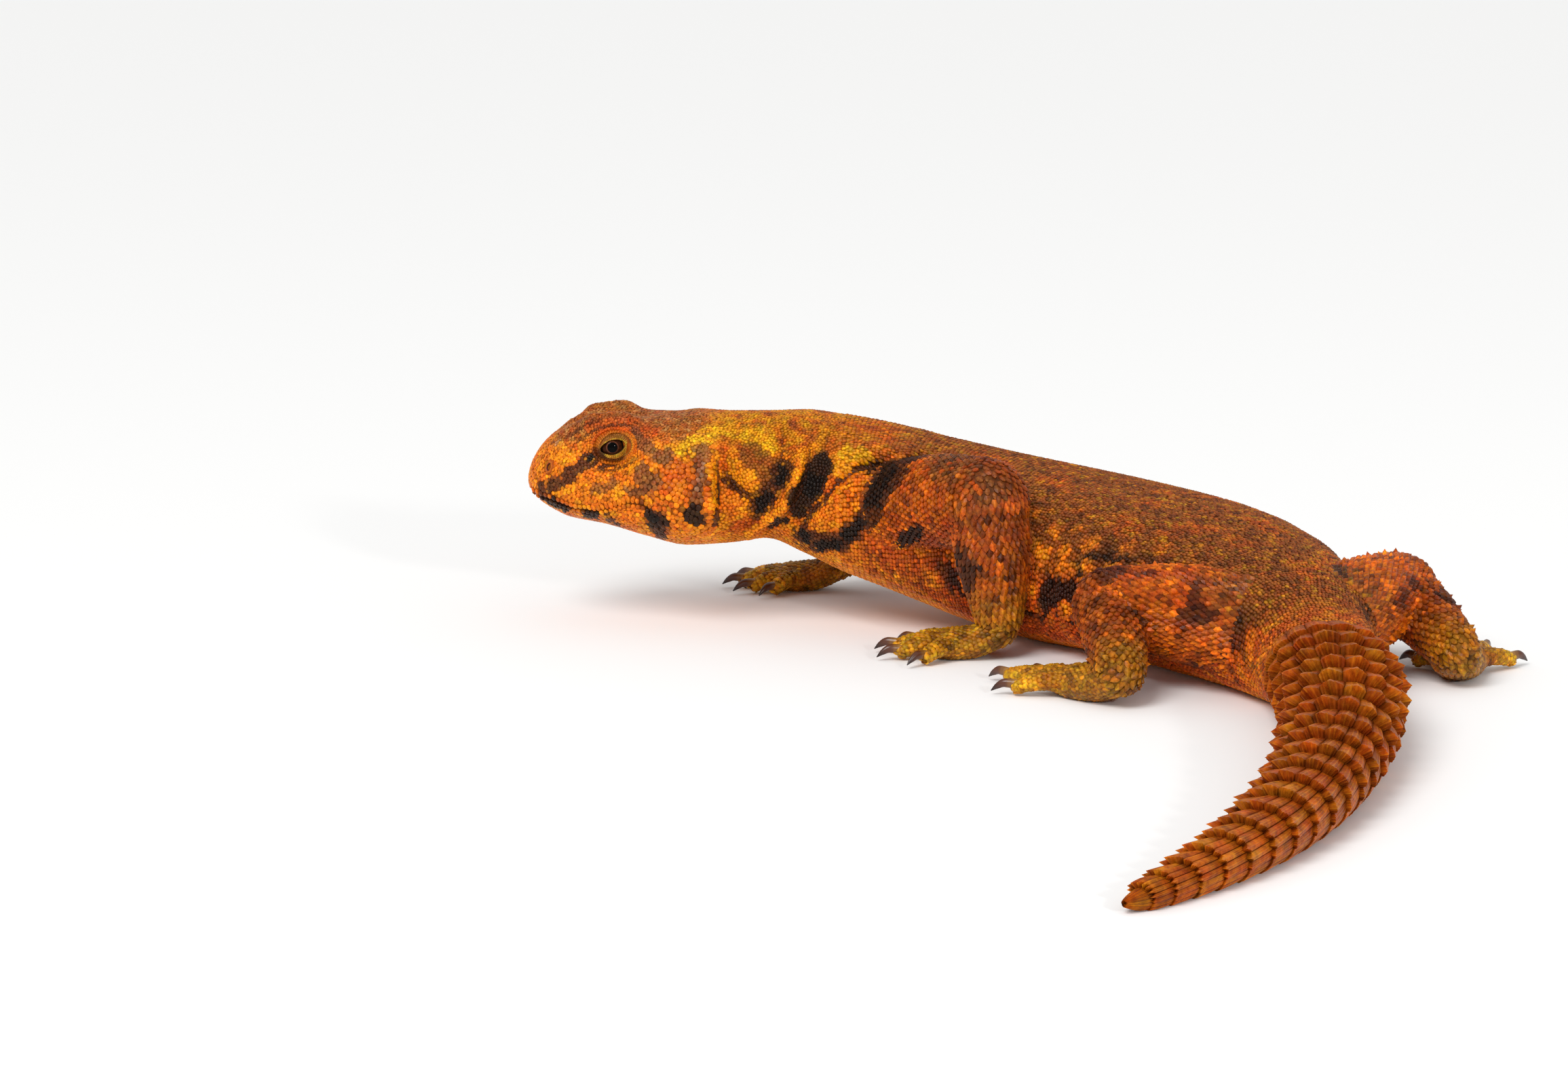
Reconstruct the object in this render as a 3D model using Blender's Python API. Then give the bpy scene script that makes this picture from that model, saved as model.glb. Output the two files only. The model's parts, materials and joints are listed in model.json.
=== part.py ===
"""A life-size spiny-tailed lizard, resting on a floor with its chest raised and its tail swept round.

The head points along -X and the lizard's left side faces -Y. The trunk and tail are sections placed
along one curved spine, parted by thin cuts. Each leg is three solids that meet face to face.
Tables are in millimetres along the spine, counted from the snout, and MM turns them to metres.
"""

import math

import bmesh
import bpy
import numpy as np

MM = 0.001
GAP = 0.3 * MM

# Named lengths along the spine
NECK_START = 42
CHEST_START = 60
BELLY_START = 104
PELVIS_START = 150
TAIL_START = 200
TAIL_END = 348
SNOUT_ROUND = 9

# Way the spine runs tailwards, in degrees from +X, seen from above
HEADING = (
    (0, 0), (45, 0), (75, -9), (100, -23), (130, -42), (165, -64), (198, -82), (240, -98), (290, -112), (348, -136),
)
# Half width, and the heights of the back, of the widest level and of the belly
HALF_WIDTH = (
    (0, 8), (5, 9), (10, 10.2), (17, 12.2), (25, 14.8), (32, 16.8), (38, 16.2), (45, 14.4), (52, 15), (60, 16.8),
    (72, 19), (85, 22), (100, 24.5), (120, 26.5), (140, 27), (160, 25), (176, 20), (188, 15.5), (200, 12), (215, 11.4),
    (240, 10.2), (280, 7.8), (320, 5), (348, 2),
)
BACK = (
    (0, 38.8), (5, 40.2), (9, 41.4), (13, 42.6), (19, 43.5), (25, 43.9), (31, 43.7), (36, 44.3), (42, 43.9),
    (50, 43.9), (58, 44.1), (66, 43.1), (75, 41.5), (84, 39.3), (100, 36), (115, 33.8), (130, 32.2), (150, 30.4),
    (170, 27.4), (188, 24), (200, 20.5), (215, 18), (240, 15.6), (280, 11.8), (320, 7.6), (348, 3.6),
)
MIDDLE = (
    (0, 29), (10, 29), (25, 27.8), (34, 27.4), (42, 28.5), (50, 29.5), (58, 28), (66, 26), (75, 23.5), (84, 21.5),
    (100, 18), (115, 16.5), (130, 15.5), (150, 14.5), (170, 12.5), (200, 9), (240, 7), (280, 5.4), (320, 3.6),
    (348, 1.8),
)
BELLY = (
    (0, 23.9), (5, 22.7), (10, 21.3), (16, 20.4), (25, 17.9), (34, 15.8), (42, 16), (50, 17), (58, 14), (66, 10.4),
    (75, 7.4), (84, 4.6), (95, 1.6), (104, 0), (120, -1.2), (190, -1.2), (200, -0.6), (215, -0.4), (348, -0.2),
)
# Squareness of a section, where 2 is an ellipse
SQUARENESS = (
    (0, 2.1), (10, 2.4), (18, 2.8), (26, 2.6), (34, 2.3), (45, 2.1), (80, 2.2), (140, 2.4), (200, 2.2), (348, 2.1),
)

# Eye, lids and the openings of the head
EYE_AT = (17.8, 7.9, 37.6)
EYE_RADIUS = 3.3
LID_THICKNESS = 0.7
LID_OPENING = (5.6, 3.5)
LID_TILT = 12
NOSTRIL_AT = (4.3, 33.4)
NOSTRIL_RADII = (0.75, 1.5, 1.15)
EAR_AT = (38.4, 31.6)
EAR_RADII = (0.9, 2.4, 4.2)
MOUTH_LINE = ((0.9, 26.4), (5.2, 25.6), (10.3, 23.8), (14.7, 23.5), (18, 24.6), (21.2, 25.7), (24, 25.3), (27, 23.9))
MOUTH_GAP = 0.6
MOUTH_DEPTH = 1.1

# Raised and sunk forms of the head and neck: points along it, spread and height
FORMS = (
    (((12.8, 6.6, 41.4), (15.5, 7.4, 42.2), (18.8, 7.7, 42.2)), 2.7, 3.2),
    (((6, 5.8, 37.4), (12, 8.2, 39.8)), 1.6, 0.6),
    (((10, 0, 42.6), (24, 0, 43.4)), 3.2, -1.2),
    (((17.8, 11.6, 36.8),), 4.2, -1.5),
    (((30, 16, 29.5), (34, 16.6, 26)), 6.5, 1.4),
    (((4.3, 7.6, 33.4),), 1.9, 0.7),
    (((2, 3.5, 28.4), (5.2, 8, 27.2), (10.3, 9.6, 25.4), (18, 12, 26.2)), 1.3, 0.6),
    (((2, 3.5, 24), (5.2, 7.6, 23.4), (10.3, 9, 21.8), (18, 11.6, 22.4)), 1.3, 0.5),
    (((44, 13.8, 38), (46, 14.2, 32), (45, 14, 24)), 1.9, 1.1),
    (((59, 15.6, 37), (56, 15.4, 29), (51, 14.4, 21)), 2.0, 1.6),
    (((62, 16.4, 35), (59, 16, 27), (54, 14, 19)), 1.8, -1.2),
)

# Whorls of the tail
WHORL_LENGTH = ((200, 6.4), (215, 7), (240, 8), (300, 7.2), (348, 5))
WHORL_SPINES = 14
SPINE_BACK = ((200, 1.5), (225, 2.2), (300, 1.9), (348, 1.0))
SPINE_OUT = ((200, 1.8), (225, 2.7), (300, 1.9), (348, 0.8))
KEEL = 0.35
TAIL_NODES = 5
TIP_HEIGHT = 1.2

# Legs: joints are (towards the head, outwards, height) from a girdle on the spine
SHOULDER_AT = 76
HIP_AT = 186
# Length of body, ahead of a girdle and behind it, that a leg is cut clear of
LEG_CUT = (40, 60)
FORELEG_LEFT = {"root": (-3, 12, 26), "knee": (-24, 32.5, 31.5), "ankle": (-27, 35, 8.5), "foot_turn": 0}
FORELEG_RIGHT = {"root": (4, 12, 25), "knee": (-4, 30, 23), "ankle": (15, 27, 8), "foot_turn": -2}
HINDLEG_LEFT = {"root": (2, 9, 13), "knee": (20, 31, 15), "ankle": (-3, 36, 7), "foot_turn": 22}
HINDLEG_RIGHT = {"root": (2, 9, 13), "knee": (20, 30, 15), "ankle": (-3, 33, 7), "foot_turn": 24}
UPPER_ARM = (9.4, 9.4, 8.8)
FOREARM = (7.9, 7.4, 4.8)
THIGH = (9.5, 9.2, 7.6)
SHIN = (6.8, 6.2, 4.6)
# Digits: turn from the foot's own direction, towards the body, and length
FORE_DIGITS = ((52, 7), (27, 9.5), (3, 11), (-20, 10.5), (-50, 8))
HIND_DIGITS = ((48, 7), (26, 10), (6, 13), (-14, 16), (-44, 10.5))
PALM = {"length": 9, "half_width": 5.4, "half_height": 2.7}
SOLE = {"length": 12, "half_width": 5.6, "half_height": 2.9}
DIGIT_RADII = (2.0, 1.9, 1.75, 1.45)
CLAW_LENGTH = 4.6
CLAW_RADIUS = 0.85
# Pointed tubercles on the thighs and shins: stretch of the limb's 0 to 4, rows, number across, base and height
THIGH_TUBERCLES = (0.9, 2.7)
SHIN_TUBERCLES = (1.2, 3.6)
TUBERCLE_ROWS = 4
TUBERCLES_ACROSS = 3
TUBERCLE_RADIUS = 0.85
TUBERCLE_HEIGHT = 1.5
TUBERCLE_SINK = 0.6
TUBERCLE_SPREAD = 80
SEED = 7

SKINS = {
    "skin_head": (0.62, 0.27, 0.05),
    "skin_body": (0.50, 0.17, 0.04),
    "skin_tail": (0.42, 0.15, 0.04),
    "skin_foot": (0.40, 0.25, 0.05),
    "eye": (0.02, 0.012, 0.01),
}


def smooth(knots, x):
    """Monotone cubic through the knots, so that a profile never swings past them."""
    kx, ky = np.array(knots, float).T
    step, rise = np.diff(kx), np.diff(ky)
    slope = rise / step
    m = np.zeros(len(kx))
    m[0], m[-1] = slope[0], slope[-1]
    a, b = slope[:-1], slope[1:]
    w1, w2 = 2 * step[1:] + step[:-1], step[1:] + 2 * step[:-1]
    same = a * b > 0
    m[1:-1][same] = (w1 + w2)[same] / (w1[same] / a[same] + w2[same] / b[same])
    x = np.clip(np.asarray(x, float), kx[0], kx[-1])
    i = np.clip(np.searchsorted(kx, x) - 1, 0, len(kx) - 2)
    t = (x - kx[i]) / step[i]
    h = step[i]
    return (
        (1 + 2 * t) * (1 - t) ** 2 * ky[i]
        + t * (1 - t) ** 2 * h * m[i]
        + t * t * (3 - 2 * t) * ky[i + 1]
        + t * t * (t - 1) * h * m[i + 1]
    )


SPINE_S = np.arange(0, TAIL_END + 20.5, 0.5)
SPINE_TURN = np.radians(smooth(HEADING, SPINE_S))
SPINE_X = np.concatenate([[0], np.cumsum(np.cos((SPINE_TURN[1:] + SPINE_TURN[:-1]) / 2) * 0.5)])
SPINE_Y = np.concatenate([[0], np.cumsum(np.sin((SPINE_TURN[1:] + SPINE_TURN[:-1]) / 2) * 0.5)])


def on_spine(s):
    """Place and direction (tailwards) of the spine, seen from above."""
    turn = math.radians(float(smooth(HEADING, s)))
    at = np.array([np.interp(s, SPINE_S, SPINE_X), np.interp(s, SPINE_S, SPINE_Y), 0.0])
    return at, np.array([math.cos(turn), math.sin(turn), 0.0])


def rightwards(tailwards):
    return np.array([-tailwards[1], tailwards[0], 0.0])


def snout_share(s):
    """Share of a section's full size near the rounded snout."""
    return math.sqrt(max(0.0, 1 - (1 - min(s, SNOUT_ROUND) / SNOUT_ROUND) ** 2))


def section_sizes(s, grow=0.0):
    share = snout_share(s)
    middle = float(smooth(MIDDLE, s))
    return (
        float(smooth(HALF_WIDTH, s)) * share + grow,
        (float(smooth(BACK, s)) - middle) * share + grow,
        (middle - float(smooth(BELLY, s))) * share + grow,
        middle,
        float(smooth(SQUARENESS, s)),
    )


def flank_at(s, height):
    """How far out the side of the plain section is at this height."""
    wide, up, down, middle, square = section_sizes(s)
    reach = up if height > middle else down
    share = min(1.0, abs(height - middle) / reach)
    return wide * (1 - share**square) ** (1 / square)


def nearest_on(points, p):
    """Distance from p to a run of points."""
    if len(points) == 1:
        return float(np.linalg.norm(p - points[0]))
    best = math.inf
    for a, b in zip(points[:-1], points[1:]):
        along = np.clip(np.dot(p - a, b - a) / np.dot(b - a, b - a), 0, 1)
        best = min(best, float(np.linalg.norm(p - a - along * (b - a))))
    return best


RUNS = [(np.array(points, float), spread, height) for points, spread, height in FORMS]


def raised(s, side, height):
    """Height of the head's and neck's forms at a place of the plain section."""
    if s > CHEST_START + 10:
        return 0.0
    p = np.array([s, abs(side), height])
    return sum(amount * math.exp(-((nearest_on(run, p) / spread) ** 2)) for run, spread, amount in RUNS)


def body_point(s, angle, grow=0.0):
    """Point of the body's surface in millimetres. The angle runs from the back towards the right side."""
    wide, up, down, middle, square = section_sizes(s, grow)
    si, co = math.sin(angle), math.cos(angle)
    side = wide * math.copysign(abs(si) ** (2 / square), si)
    rise = (up if co > 0 else down) * math.copysign(abs(co) ** (2 / square), co)
    lift = raised(s, side, middle + rise)
    far = math.hypot(side, rise)
    if far > 1e-6:
        side, rise = side * (1 + lift / far), rise * (1 + lift / far)
    at, tailwards = on_spine(s)
    point = at + rightwards(tailwards) * side
    point[2] = middle + rise if grow else max(0.0, middle + rise)
    return point


def ring_of_body(s, count, grow=0.0):
    return [body_point(s, 2 * math.pi * k / count, grow) for k in range(count)]


def mesh_object(name, points, faces, in_mm=True):
    """Object from points and faces, its faces split into triangles and turned outwards."""
    mesh = bpy.data.meshes.new(name)
    scale = MM if in_mm else 1.0
    mesh.from_pydata([tuple(float(c) * scale for c in p) for p in points], [], faces)
    shape = bmesh.new()
    shape.from_mesh(mesh)
    bmesh.ops.triangulate(shape, faces=shape.faces)
    bmesh.ops.recalc_face_normals(shape, faces=shape.faces)
    shape.to_mesh(mesh)
    shape.free()
    made = bpy.data.objects.new(name, mesh)
    bpy.context.scene.collection.objects.link(made)
    return made


def loft(name, rings, start=None, end=None):
    """Closed skin over rings of equal count. start and end are poles; without one, that end is flat."""
    count = len(rings[0])
    points = [p for ring in rings for p in ring]
    faces = []
    for r in range(len(rings) - 1):
        for k in range(count):
            k2 = (k + 1) % count
            faces.append((r * count + k, r * count + k2, (r + 1) * count + k2, (r + 1) * count + k))
    last = (len(rings) - 1) * count
    for pole, base in ((start, 0), (end, last)):
        if pole is None:
            faces.append(tuple(base + k for k in range(count)))
            continue
        points.append(pole)
        faces += [(base + k, base + (k + 1) % count, len(points) - 1) for k in range(count)]
    return mesh_object(name, points, faces)


def tube(name, path, radii, sides=10, flat=1.0, floor=True, round_ends=True):
    """Closed tube along path with a radius at each point, its ends rounded. flat narrows its height."""
    path = np.array(path, float)
    tangents = np.gradient(path, axis=0)
    tangents /= np.linalg.norm(tangents, axis=1)[:, None]
    rings = []

    def add_ring(at, tangent, radius):
        across = np.cross(tangent, (0, 0, 1.0))
        across = across / np.linalg.norm(across) if np.linalg.norm(across) > 0.05 else np.array([0, 1.0, 0])
        over = np.cross(across, tangent)
        ring = []
        for k in range(sides):
            angle = 2 * math.pi * (k + 0.5) / sides
            p = at + radius * (math.sin(angle) * across + math.cos(angle) * flat * over)
            if floor:
                p[2] = max(0.0, p[2])
            ring.append(p)
        rings.append(ring)

    if round_ends:
        add_ring(path[0] - tangents[0] * radii[0] * 0.62, tangents[0], radii[0] * 0.7)
    for at, tangent, radius in zip(path, tangents, radii):
        add_ring(at, tangent, radius)
    if round_ends:
        add_ring(path[-1] + tangents[-1] * radii[-1] * 0.62, tangents[-1], radii[-1] * 0.7)
    poles = [path[0] - tangents[0] * radii[0] * 0.95, path[-1] + tangents[-1] * radii[-1] * 0.95]
    if floor:
        for pole in poles:
            pole[2] = max(0.0, pole[2])
    return loft(name, rings, *poles)


def curved(points, count):
    """Points of one smooth curve through a few."""
    points = np.array(points, float)
    where = np.linspace(0, len(points) - 1, count)
    t = np.arange(len(points))
    return np.column_stack([smooth(list(zip(t, points[:, c])), where) for c in range(3)])


def ellipsoid(name, centre, radii, rings=8, sides=12):
    """Ball or egg with its poles at its ends along Z."""
    centre, radii = np.array(centre, float), np.array(radii, float)
    loops = []
    for r in range(1, rings):
        lat = math.pi * r / rings
        loops.append([
            centre + radii * (
                math.sin(lat) * math.cos(2 * math.pi * k / sides),
                math.sin(lat) * math.sin(2 * math.pi * k / sides),
                math.cos(lat),
            )
            for k in range(sides)
        ])
    return loft(name, loops, centre + radii * (0, 0, 1), centre - radii * (0, 0, 1))


def combine(target, pieces, operation, solver="EXACT"):
    """One Boolean of target with a collection of closed pieces, applied. The pieces are then removed."""
    group = bpy.data.collections.new("pieces")
    bpy.context.scene.collection.children.link(group)
    for piece in pieces:
        group.objects.link(piece)
        bpy.context.scene.collection.objects.unlink(piece)
    step = target.modifiers.new("combine", "BOOLEAN")
    step.operation, step.operand_type, step.collection, step.solver = operation, "COLLECTION", group, solver
    bpy.context.view_layer.update()
    graph = bpy.context.evaluated_depsgraph_get()
    mesh = bpy.data.meshes.new_from_object(target.evaluated_get(graph))
    target.modifiers.clear()
    target.data = mesh
    for piece in pieces:
        bpy.data.objects.remove(piece)
    bpy.data.collections.remove(group)
    return keep_largest(target)


def keep_largest(target):
    """Leaves only the largest closed surface of a mesh."""
    shape = bmesh.new()
    shape.from_mesh(target.data)
    bmesh.ops.remove_doubles(shape, verts=shape.verts, dist=0.002 * MM)
    bmesh.ops.triangulate(shape, faces=shape.faces)
    unseen, groups = set(shape.faces), []
    while unseen:
        stack, group = [unseen.pop()], []
        while stack:
            face = stack.pop()
            group.append(face)
            for edge in face.edges:
                for other in edge.link_faces:
                    if other in unseen:
                        unseen.remove(other)
                        stack.append(other)
        groups.append(group)
    groups.sort(key=lambda group: sum(face.calc_area() for face in group))
    loose = [face for group in groups[:-1] for face in group]
    bmesh.ops.delete(shape, geom=loose, context="FACES")
    shape.to_mesh(target.data)
    shape.free()
    return target


def trunk_solid(name, start, end, steps, count=28):
    stations = np.linspace(start, end, steps)
    return loft(name, [ring_of_body(s, count) for s in stations])


def body_cutter(start, end, steps=16, count=28):
    """The body grown by the gap, which parts a leg from it."""
    stations = np.linspace(start, end, steps)
    return loft("body_cutter", [ring_of_body(s, count, GAP / MM) for s in stations])


def almond(name, side):
    """Prism of the opening between the lids."""
    x, y, z = EYE_AT
    long, high = LID_OPENING
    tilt = math.radians(LID_TILT)
    outline = []
    for k in range(12):
        angle = 2 * math.pi * k / 12
        u = long / 2 * math.cos(angle)
        v = high / 2 * math.copysign(abs(math.sin(angle)) ** 1.3, math.sin(angle))
        outline.append((x + u * math.cos(tilt) - v * math.sin(tilt), z + u * math.sin(tilt) + v * math.cos(tilt)))
    rings = [[(px, side * depth, pz) for px, pz in outline] for depth in (y + 0.5, y + 8)]
    return loft(name, rings)


def mouth_cutter():
    """Thin band sunk along the line of the mouth, from one corner round the snout to the other."""
    path = []
    for side in (-1, 1):
        line = MOUTH_LINE if side > 0 else MOUTH_LINE[::-1]
        path += [(x, side * max(0.0, flank_at(x, z) + raised(x, flank_at(x, z), z)), z) for x, z in line]
    path = np.array(path)
    tangents = np.gradient(path, axis=0)
    rings = []
    for k, (at, tangent) in enumerate(zip(path, tangents)):
        out = np.cross((0, 0, 1.0), tangent)
        out /= -np.linalg.norm(out)
        if np.dot(out[:2], at[:2] - (14, 0)) < 0:
            out = -out
        narrow = 0.35 if k in (0, len(path) - 1) else 1.0
        half = MOUTH_GAP / 2 * narrow
        rings.append([
            at + out * 1.2 + (0, 0, half),
            at + out * 1.2 - (0, 0, half),
            at - out * MOUTH_DEPTH * narrow - (0, 0, half),
            at - out * MOUTH_DEPTH * narrow + (0, 0, half),
        ])
    return loft("mouth_cutter", rings)


def make_head():
    stations = [0.25, 0.9, 1.9, 3.2, 4.8, 6.6, 8.6, 10.8, 13, 15.2, 17.4, 19.6, 21.8, 24, 26.4, 29, 31.8, 34.8, 37.6, NECK_START - 0.3]
    rings = [ring_of_body(s, 36) for s in stations]
    head = loft("head", rings, start=np.array([0.0, 0.0, float(smooth(MIDDLE, 0))]))
    x, y, z = EYE_AT
    lid = EYE_RADIUS + GAP / MM + LID_THICKNESS
    combine(head, [ellipsoid("lids", (x, side * y, z), (lid * 1.12, lid, lid * 0.95), 10, 16) for side in (-1, 1)], "UNION")
    cutters = [mouth_cutter()]
    for side in (-1, 1):
        cutters.append(ellipsoid("socket", (x, side * y, z), (EYE_RADIUS + GAP / MM,) * 3, 12, 20))
        cutters.append(almond("opening", side))
        nx, nz = NOSTRIL_AT
        cutters.append(ellipsoid("nostril", (nx, side * (flank_at(nx, nz) + 0.7), nz), NOSTRIL_RADII, 6, 8))
        ex, ez = EAR_AT
        cutters.append(ellipsoid("ear", (ex, side * (flank_at(ex, ez) + 0.4), ez), EAR_RADII, 8, 8))
    return [combine(head, cutters, "DIFFERENCE")]


def make_eyes():
    x, y, z = EYE_AT
    return [
        ellipsoid(f"eye_{word}", (x, side * y, z), (EYE_RADIUS,) * 3, 10, 16)
        for word, side in (("left", -1), ("right", 1))
    ]


def whorl_edges():
    edges = [TAIL_START]
    while edges[-1] + float(smooth(WHORL_LENGTH, edges[-1])) < TAIL_END - 4:
        edges.append(edges[-1] + float(smooth(WHORL_LENGTH, edges[-1])))
    return edges


def tail_point(s, k, back, out):
    """Point of the tail at one of its 2 x WHORL_SPINES lines, moved back and out by the spine's share there."""
    angle = 2 * math.pi * k / (2 * WHORL_SPINES)
    share = min(1.0, max(0.0, (math.cos(angle) + 0.75) / 0.6))
    move = back * share - 0.25 * (1 - share)
    base = body_point(s + move, angle, 1e-9)
    centre, _ = on_spine(s + move)
    centre[2] = float(smooth(MIDDLE, s + move))
    away = base - centre
    point = base + away / np.linalg.norm(away) * out * share
    point[2] = max(0.0, point[2])
    return point


def tail_rings(start, end):
    """A ring at the start of a whorl and its spiny rear edge."""
    count = 2 * WHORL_SPINES
    front = [tail_point(start, k, 0, 0.0 if k % 2 else KEEL) for k in range(count)]
    back, out = float(smooth(SPINE_BACK, end)), float(smooth(SPINE_OUT, end))
    rear = [
        tail_point(end, k, -0.9, out * 0.3) if k % 2 else tail_point(end, k, back, out)
        for k in range(count)
    ]
    return front, rear


def make_tail():
    edges = whorl_edges()
    shares = np.array_split(np.arange(len(edges) - 1), TAIL_NODES)
    made = []
    for n, whorls in enumerate(shares):
        rings = []
        for w in whorls:
            start = edges[w] + (GAP / MM if w == whorls[0] else 0)
            rings += tail_rings(start, edges[w + 1])
        last = edges[whorls[-1] + 1]
        rings.append([tail_point(last, k, 0, 0) for k in range(2 * WHORL_SPINES)])
        tip = None
        if n == TAIL_NODES - 1:
            at, _ = on_spine(TAIL_END)
            tip = at + np.array([0, 0, TIP_HEIGHT])
        made.append(loft(f"tail_{n + 1}", rings, end=tip))
    return made


def joint(girdle, place, side):
    """Point given by its reach towards the head, outwards and up from a girdle."""
    at, tailwards = on_spine(girdle)
    forward, outward, height = place
    return at - tailwards * forward + rightwards(tailwards) * side * outward + np.array([0, 0, height])


def foot_direction(girdle, side, turn):
    """Way a foot points: towards the head, turned outwards."""
    _, tailwards = on_spine(girdle)
    out = rightwards(tailwards) * side
    angle = math.radians(turn)
    return -tailwards * math.cos(angle) + out * math.sin(angle), out


def make_foot(name, ankle, direction, out, digits, palm, cutter):
    """Palm, digits and claws in one solid, cut clear of the leg above it."""
    direction = direction / np.linalg.norm(direction)
    inward = np.array([direction[1], -direction[0], 0.0])
    if np.dot(inward, out) > 0:
        inward = -inward
    heel = ankle * (1, 1, 0) + (0, 0, 5.0)
    knuckles = ankle * (1, 1, 0) + direction * palm["length"] + (0, 0, palm["half_height"] - 0.2)
    body = tube(name, [heel, (heel + knuckles) / 2 - (0, 0, 0.4), knuckles],
                (4.2, palm["half_width"] * 0.92, palm["half_width"]), 12, palm["half_height"] / palm["half_width"] * 1.25)
    pieces = []
    for turn, length in digits:
        angle = math.radians(turn)
        way = direction * math.cos(angle) + inward * math.sin(angle)
        root = knuckles - direction * 2.2 + way * 2.6 + inward * math.sin(angle) * 1.2
        root[2] = 2.4
        tip = root + way * length
        run = [root, root + way * length * 0.4 + (0, 0, 0.7), root + way * length * 0.75 + (0, 0, 0.2), tip - (0, 0, 0.7)]
        pieces.append(tube("digit", run, DIGIT_RADII, 8))
        nail = tip + way * 0.4
        claw = [
            nail - way * 0.8 + (0, 0, -0.1), nail + way * CLAW_LENGTH * 0.4 + (0, 0, 0.1),
            nail + way * CLAW_LENGTH * 0.75 - (0, 0, 0.6), nail + way * CLAW_LENGTH - (0, 0, 1.5),
        ]
        pieces.append(tube("claw", claw, (CLAW_RADIUS, CLAW_RADIUS * 0.9, CLAW_RADIUS * 0.6, 0.12), 6, round_ends=False))
    foot = combine(body, pieces, "UNION")
    return combine(foot, [cutter], "DIFFERENCE")


def tubercles(path, radii, span, out, grow=0.0):
    """Pointed tubercles over the outside and top of a limb, leaning towards its end."""
    random = np.random.default_rng(SEED)
    pieces = []
    for row in range(TUBERCLE_ROWS):
        where = span[0] + (span[1] - span[0]) * (row + 0.5) / TUBERCLE_ROWS
        at = np.array([np.interp(where, range(5), path[:, c]) for c in range(3)])
        radius = float(np.interp(where, range(5), radii))
        tangent = path[-1] - path[0]
        tangent /= np.linalg.norm(tangent)
        up = np.array([0, 0, 1.0]) - tangent * tangent[2]
        up /= np.linalg.norm(up)
        away = out - tangent * np.dot(out, tangent) - up * np.dot(out, up)
        away /= np.linalg.norm(away)
        for k in range(TUBERCLES_ACROSS):
            turn = math.radians(TUBERCLE_SPREAD) * (k / (TUBERCLES_ACROSS - 1) + 0.3 * (row % 2))
            turn += random.uniform(-0.08, 0.08)
            normal = up * math.cos(turn) + away * math.sin(turn)
            base = at + normal * (radius - TUBERCLE_SINK)
            lean = normal + tangent * 0.5
            tip = base + lean / np.linalg.norm(lean) * (TUBERCLE_HEIGHT + TUBERCLE_SINK + 2 * grow)
            across = np.cross(normal, tangent)
            size = TUBERCLE_RADIUS * random.uniform(0.85, 1.1) + grow
            ring = [
                base + size * (math.cos(math.tau * j / 6) * across + math.sin(math.tau * j / 6) * tangent)
                for j in range(6)
            ]
            pieces.append(loft("tubercle", [ring], start=base - normal * 0.4, end=tip))
    return pieces


def leg_path(first, last, bulge):
    """Three points of a limb, its middle raised a little."""
    return curved([first, (first + last) / 2 + (0, 0, bulge), last], 5)


def make_leg(words, girdle, plan, side, upper_radii, lower_radii, digits, palm):
    """Upper leg, lower leg and foot. Each is cut clear of the one above it."""
    root, knee, ankle = (joint(girdle, plan[key], side) for key in ("root", "knee", "ankle"))
    upper_name, lower_name, foot_name = words
    grown = GAP / MM
    five = np.linspace(0, 2, 5)
    upper_r = np.interp(five, (0, 1, 2), upper_radii)
    lower_r = np.interp(five, (0, 1, 2), lower_radii)
    upper_path, lower_path = leg_path(root, knee, 0.8), leg_path(knee, ankle, 0)
    direction, out = foot_direction(girdle, side, plan["foot_turn"])
    upper = tube(upper_name, upper_path, upper_r, 12)
    lower = tube(lower_name, lower_path, lower_r, 12)
    cutters = [tube("cutter", upper_path, upper_r + grown, 12, floor=False)]
    if girdle == HIP_AT:
        back = -foot_direction(girdle, side, 0)[0]
        combine(upper, tubercles(upper_path, upper_r, THIGH_TUBERCLES, back), "UNION")
        combine(lower, tubercles(lower_path, lower_r, SHIN_TUBERCLES, out), "UNION")
        cutters += tubercles(upper_path, upper_r, THIGH_TUBERCLES, back, grown)
    first, last = girdle - LEG_CUT[0], girdle + LEG_CUT[1]
    combine(upper, [body_cutter(first, last)], "DIFFERENCE")
    combine(lower, [*cutters, body_cutter(first, last)], "DIFFERENCE")
    foot = make_foot(foot_name, ankle, direction, out, digits, palm,
                     tube("cutter", lower_path, lower_r + grown, 12, floor=False))
    return upper, lower, foot


def make_legs():
    made = []
    for word, side, plan in (("left", -1, FORELEG_LEFT), ("right", 1, FORELEG_RIGHT)):
        names = (f"upper_arm_{word}", f"forearm_{word}", f"hand_{word}")
        made += make_leg(names, SHOULDER_AT, plan, side, UPPER_ARM, FOREARM, FORE_DIGITS, PALM)
    for word, side, plan in (("left", -1, HINDLEG_LEFT), ("right", 1, HINDLEG_RIGHT)):
        names = (f"thigh_{word}", f"shin_{word}", f"foot_{word}")
        made += make_leg(names, HIP_AT, plan, side, THIGH, SHIN, HIND_DIGITS, SOLE)
    return made


def make_trunk():
    gap = GAP / MM
    return [
        trunk_solid("neck", NECK_START, CHEST_START - gap, 8),
        trunk_solid("chest", CHEST_START, BELLY_START - gap, 8),
        trunk_solid("belly", BELLY_START, PELVIS_START - gap, 8),
        trunk_solid("pelvis", PELVIS_START, TAIL_START, 9),
    ]


def finish_of(name):
    """Material slot of a node."""
    for start, slot in (("head", "skin_head"), ("eye", "eye"), ("tail", "skin_tail"), ("hand", "skin_foot"), ("foot", "skin_foot")):
        if name.startswith(start):
            return slot
    return "skin_body"


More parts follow.
